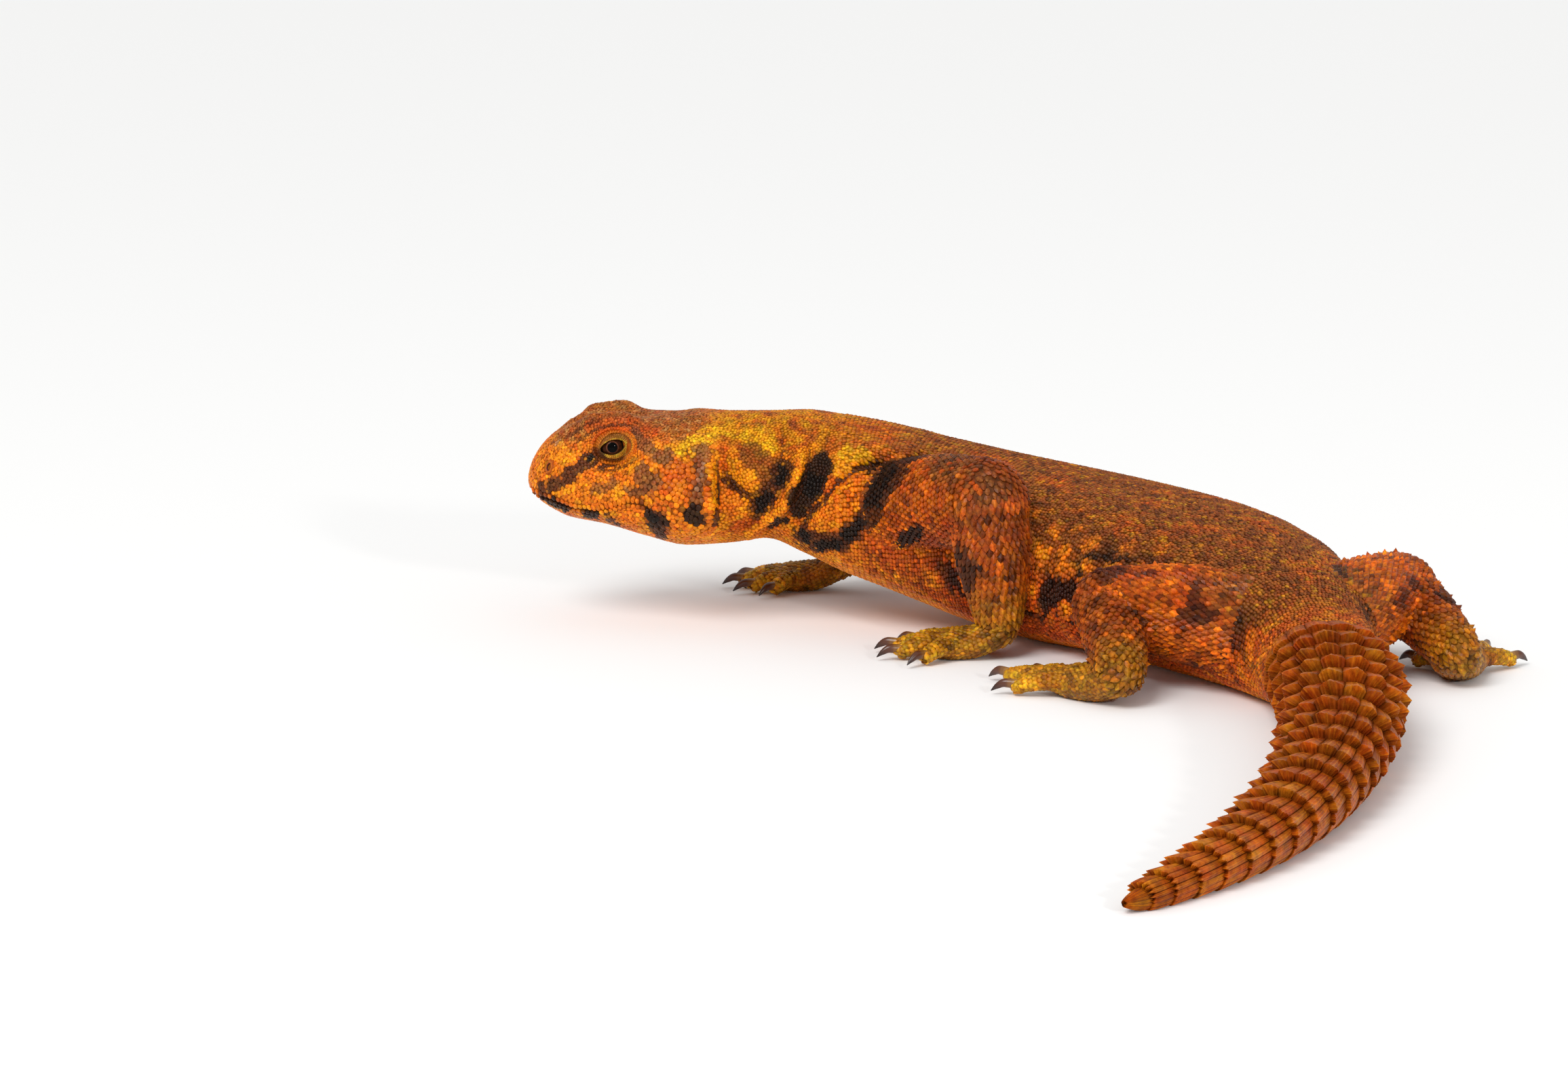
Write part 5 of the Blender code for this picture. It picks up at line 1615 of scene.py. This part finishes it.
# Rows of grains on the lids: share of the way from the inner edge, spacing and height
LID_ROWS = (
    (0.1, 0.38, 0.08), (0.18, 0.4, 0.1), (0.26, 0.42, 0.11), (0.34, 0.44, 0.1), (0.5, 0.5, 0.18), (0.58, 0.54, 0.2),
    (0.67, 0.58, 0.2), (0.82, 0.62, 0.22), (0.9, 0.66, 0.24), (0.98, 0.7, 0.26),
)


def lid_grains(side):
    """Rows of tiny grains round the lids."""
    rows = []
    fine = np.linspace(0, math.tau, 240)
    for share, pitch, height in LID_ROWS:
        run = lengths_along(lid_surface(side, fine, np.full(240, share)))
        count = int(run[-1] / pitch)
        angle = np.interp((np.arange(count) + random.random()) % count * run[-1] / count, run, fine)
        at = lid_surface(side, angle, np.full(count, share))
        beside = lid_surface(side, angle + 0.05, np.full(count, share)) - at
        outer = lid_surface(side, angle, np.full(count, share + 0.04)) - at
        normal = unit(np.cross(beside, outer))
        normal *= np.sign(normal[:, 1] * side)[:, None]
        lie = flattened(outer, normal)
        colour = lid_colour(angle, np.full(count, share)) * random.uniform(0.8, 1.2, (count, 1))
        size = np.tile((pitch * 1.15, pitch * 1.15, height), (count, 1))
        place = unwrap(np.zeros(count, int), np.full(count, EYE_AT[0]), np.full(count, side * 1.2))
        place = place + random.uniform(-0.004, 0.004, (count, 2))
        rows.append((at, np.cross(lie, normal), lie, normal, size, colour, place))
    return tuple(np.vstack([row[i] for row in rows]) for i in range(7))


# Radii of the pupil, the pale ring round it and the iris
PUPIL, PALE_RING, IRIS = 1.1, 1.3, 2.0
CORNEA_RISE = 0.12


def make_eye(side, word):
    """Eyeball with a dark iris, a pale ring round the pupil and a slightly raised cornea."""
    centre, behind, above, out = lid_frame(side)
    gaze = unit(out * EYE_RADIUS + behind * GAZE[0] + above * GAZE[1])
    first = unit(np.cross(gaze, (0, 0, 1.0)))
    second = np.cross(gaze, first)
    rings, colours = [], []
    count = 64
    around = round_angles(count)
    circle = np.cos(around)[:, None] * first + np.sin(around)[:, None] * second
    streak = (1 + 0.3 * np.sin(around * 17 + 2 * np.sin(around * 5)))[:, None]
    # The pale ring is painted brighter on one side and darker on the other, as light falling across it
    ring_painted_light = (1 - 0.4 * np.sin(around - 0.6))[:, None]
    tints = (
        (PUPIL, np.tile(tone("#040303"), (count, 1))), (PALE_RING, tone("#5E3320") * (0.8 + 0.2 * streak) * ring_painted_light),
        (IRIS, tone("#351708") * streak), (math.inf, np.tile(tone("#120A06"), (count, 1))),
    )
    for lat in np.concatenate([np.linspace(0.02, 1.2, 48), np.linspace(1.25, 3.1, 16)]):
        r = EYE_RADIUS * math.sin(lat)
        bulge = CORNEA_RISE * math.exp(-((r / 1.7) ** 2)) if lat < 1.5 else 0
        rings.append(centre + r * circle + gaze * (EYE_RADIUS * math.cos(lat) + bulge))
        colours.append(next(tint for reach, tint in tints if (r if lat <= 1.5 else math.inf) <= reach))
    poles = [centre + gaze * (EYE_RADIUS + CORNEA_RISE), centre - gaze * EYE_RADIUS]
    piece = mesh_piece(f"eyeball_{word}", *tube_mesh(rings, poles), CORNEA)
    give_colour(piece.data, np.vstack([*colours, colours[0][:1], colours[-1][:1]]))
    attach(piece, "root")
    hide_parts(f"eye_{word}")


# Rings of a nostril, from inside its pit out to under the skin: reach, height and colour. The pit is painted black and
# dark brown as the shade inside it.
NOSTRIL_RINGS = (
    (0.1, -0.6, BLACK), (0.36, -0.5, BLACK), (0.5, -0.1, tone("#2A100C")), (0.6, 0.2, tone("#4A2018")),
    (0.76, 0.4, RUST), (0.94, 0.4, tone("#B8600C")), (1.12, 0.22, RUST), (1.35, -0.25, RUST), (1.3, -0.9, BROWN),
)


def make_nostrils():
    """Low ring of skin round a pit painted dark as shade, on each side."""
    points, faces, colours = [], [], []
    count = 40
    angle = round_angles(count)
    last = (len(NOSTRIL_RINGS) - 1) * count
    ring_faces = [face for a in range(0, last, count) for face in strip_faces(a, a + count, count)]
    ring_faces += [tuple(range(count)), tuple(range(last, last + count))]
    for side in (-1, 1):
        spot, normal = (np.array(v) for v in wrap.find_nearest((NOSTRIL_AT[0], side * 8.5, NOSTRIL_AT[1]))[:2])
        tall = flattened(np.array([[0.35, 0, 1.0]]), normal[None])[0]
        wide = np.cross(tall, normal)
        faces += shifted(ring_faces, len(points) * count)
        for reach, high, tint in NOSTRIL_RINGS:
            wave = 1 + 0.09 * np.sin(7 * angle) * min(1.0, reach)
            ring = np.cos(angle)[:, None] * wide * 0.8 + np.sin(angle)[:, None] * tall * 1.25
            points.append(spot + reach * wave[:, None] * ring + normal * high)
            colours.append(np.tile(tint, (count, 1)))
    piece = mesh_piece("nostrils", np.vstack(points), faces, LID_SKIN)
    give_colour(piece.data, np.vstack(colours))


def make_ear_fringe():
    """Pointed pale scales on the front edge of each ear, over its opening."""
    roots = Roots()
    for side in (-1, 1):
        z = np.linspace(24.6, 35.8, 11)
        x = 38.0 + 0.35 * np.sin(z)
        at = np.column_stack([x, side * flank_at(x, z), z])
        lie = np.tile((1.0, 0, -0.15), (len(z), 1))
        length = random.uniform(1.4, 2.1, len(z))
        roots.add(at, lie, 1.15, length, 0.6, 0.2, 0, 39.0, np.full(len(z), side * 1.5), 0, 1.1, keep=4)
    return roots.settled()


def make_claws():
    """Curved claws, pale at the root and dark at the point."""
    points, faces, colours = [], [], []
    offset = 0
    for path in CLAWS:
        claw = Limb("claw", 1, "fore", path, (CLAW_RADIUS, CLAW_RADIUS * 0.92, CLAW_RADIUS * 0.6, 0.1), 1.15, 15)
        p, f = claw.mesh(14, 0.35)
        p[:, 2] = np.maximum(p[:, 2], 0.02)
        share = np.clip(np.array([np.argmin(np.linalg.norm(claw.path - q, axis=1)) for q in p]) / 14, 0, 1)
        points.append(p)
        faces += shifted(f, offset)
        offset += len(p)
        horn = np.tile(tone("#9A6C2E"), (len(p), 1))
        dark = (tone("#54280F"), step_up(share, 0.05, 0.35)), (tone("#241009"), step_up(share, 0.35, 0.9))
        colours.append(paint(horn, *dark))
    piece = mesh_piece("claws", np.vstack(points), faces, CLAW_HORN)
    give_colour(piece.data, np.vstack(colours))


for side, word in ((-1, "left"), (1, "right")):
    make_eye(side, word)
    make_lids(side, word)
    grow_scales(f"grains_lids_{word}", lid_grains(side), GRAIN, SCALE_KERATIN, 0.1, 140)
make_nostrils()
grow_scales("fringe_ears", make_ear_fringe(), SHINGLE, SCALE_KERATIN, 0.12, 150)
make_claws()
for shape in (PEBBLE, GRAIN, CONE, SHINGLE, TILE, KEELED):
    bpy.data.objects.remove(shape)


# Every piece rides on the one body, and the skin takes the place of the nodes of flesh, which are hidden

for piece in list(bpy.context.scene.objects):
    if piece.type == "MESH" and piece.name not in frame["nodes"] and not piece.name.startswith("eyeball"):
        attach(piece, "root")
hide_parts(*[name for name in frame["nodes"] if not name.startswith("eye")])


# Pale floor, soft studio light, and the camera at the side of the head

def point_lamp(name, kind, way, place=(0, 0, 0), **settings):
    """Light that shines along a way."""
    light = bpy.data.lights.new(name, kind)
    for key, value in settings.items():
        setattr(light, key, value)
    lamp = put(name, light)
    lamp.location = place
    lamp.rotation_euler = Vector(way).to_track_quat("-Z", "Y").to_euler()


# Width in metres that the camera sees at the distance of the head
VIEW_WIDTH = 0.330


def studio():
    """Floor, room, lights and camera."""
    sheet = np.array([(-3, -3, 0), (3, -3, 0), (3, 3, 0), (-3, 3, 0)], float)
    floor = mesh_piece("floor", sheet, [(0, 1, 2, 3)], raw=True)
    # Matt paper, so pale that it stays a little off white in the light
    paper, _, shader = new_finish("pale paper floor", 0.9, 0.5, 1.5)
    shader.inputs["Base Color"].default_value = (*tone("#FBFBFA"), 1)
    floor.data.materials.append(paper)
    world = bpy.data.worlds.new("white room")
    world.use_nodes = True
    world.node_tree.nodes["Background"].inputs[0].default_value = (1, 1, 1, 1)
    world.node_tree.nodes["Background"].inputs[1].default_value = 0.6
    bpy.context.scene.world = world
    point_lamp("window light", "SUN", (0.38, 0.58, -0.75), energy=1.5, angle=math.radians(32))
    for name, place, aim, size, power in (
        ("catch light", (0.46, -0.85, 0.38), (-0.1, 0, 0.04), 0.08, 2.2),
        ("key softbox", (-0.4, -0.7, 0.8), (0, 0, 0.02), 0.4, 1.5),
    ):
        point_lamp(name, "AREA", Vector(aim) - Vector(place), place, size=size, energy=power)
    distance, rise = SIDE_DISTANCE * 0.001, SIDE_TILT
    snout = metres(np.zeros(3))
    aim = Vector((snout[0] + SIDE_MIDDLE * 0.001, snout[1], SIDE_LEVEL * 0.001))
    camera = put("camera", bpy.data.cameras.new("camera"))
    camera.data.sensor_width, camera.data.lens = 36, 36 * distance / VIEW_WIDTH
    camera.location = aim + Vector((0, -math.cos(rise), math.sin(rise))) * distance
    camera.rotation_euler = (math.pi / 2 - rise, 0, 0)
    bpy.context.scene.camera = camera
    bpy.context.scene.view_settings.view_transform = "Standard"


studio()
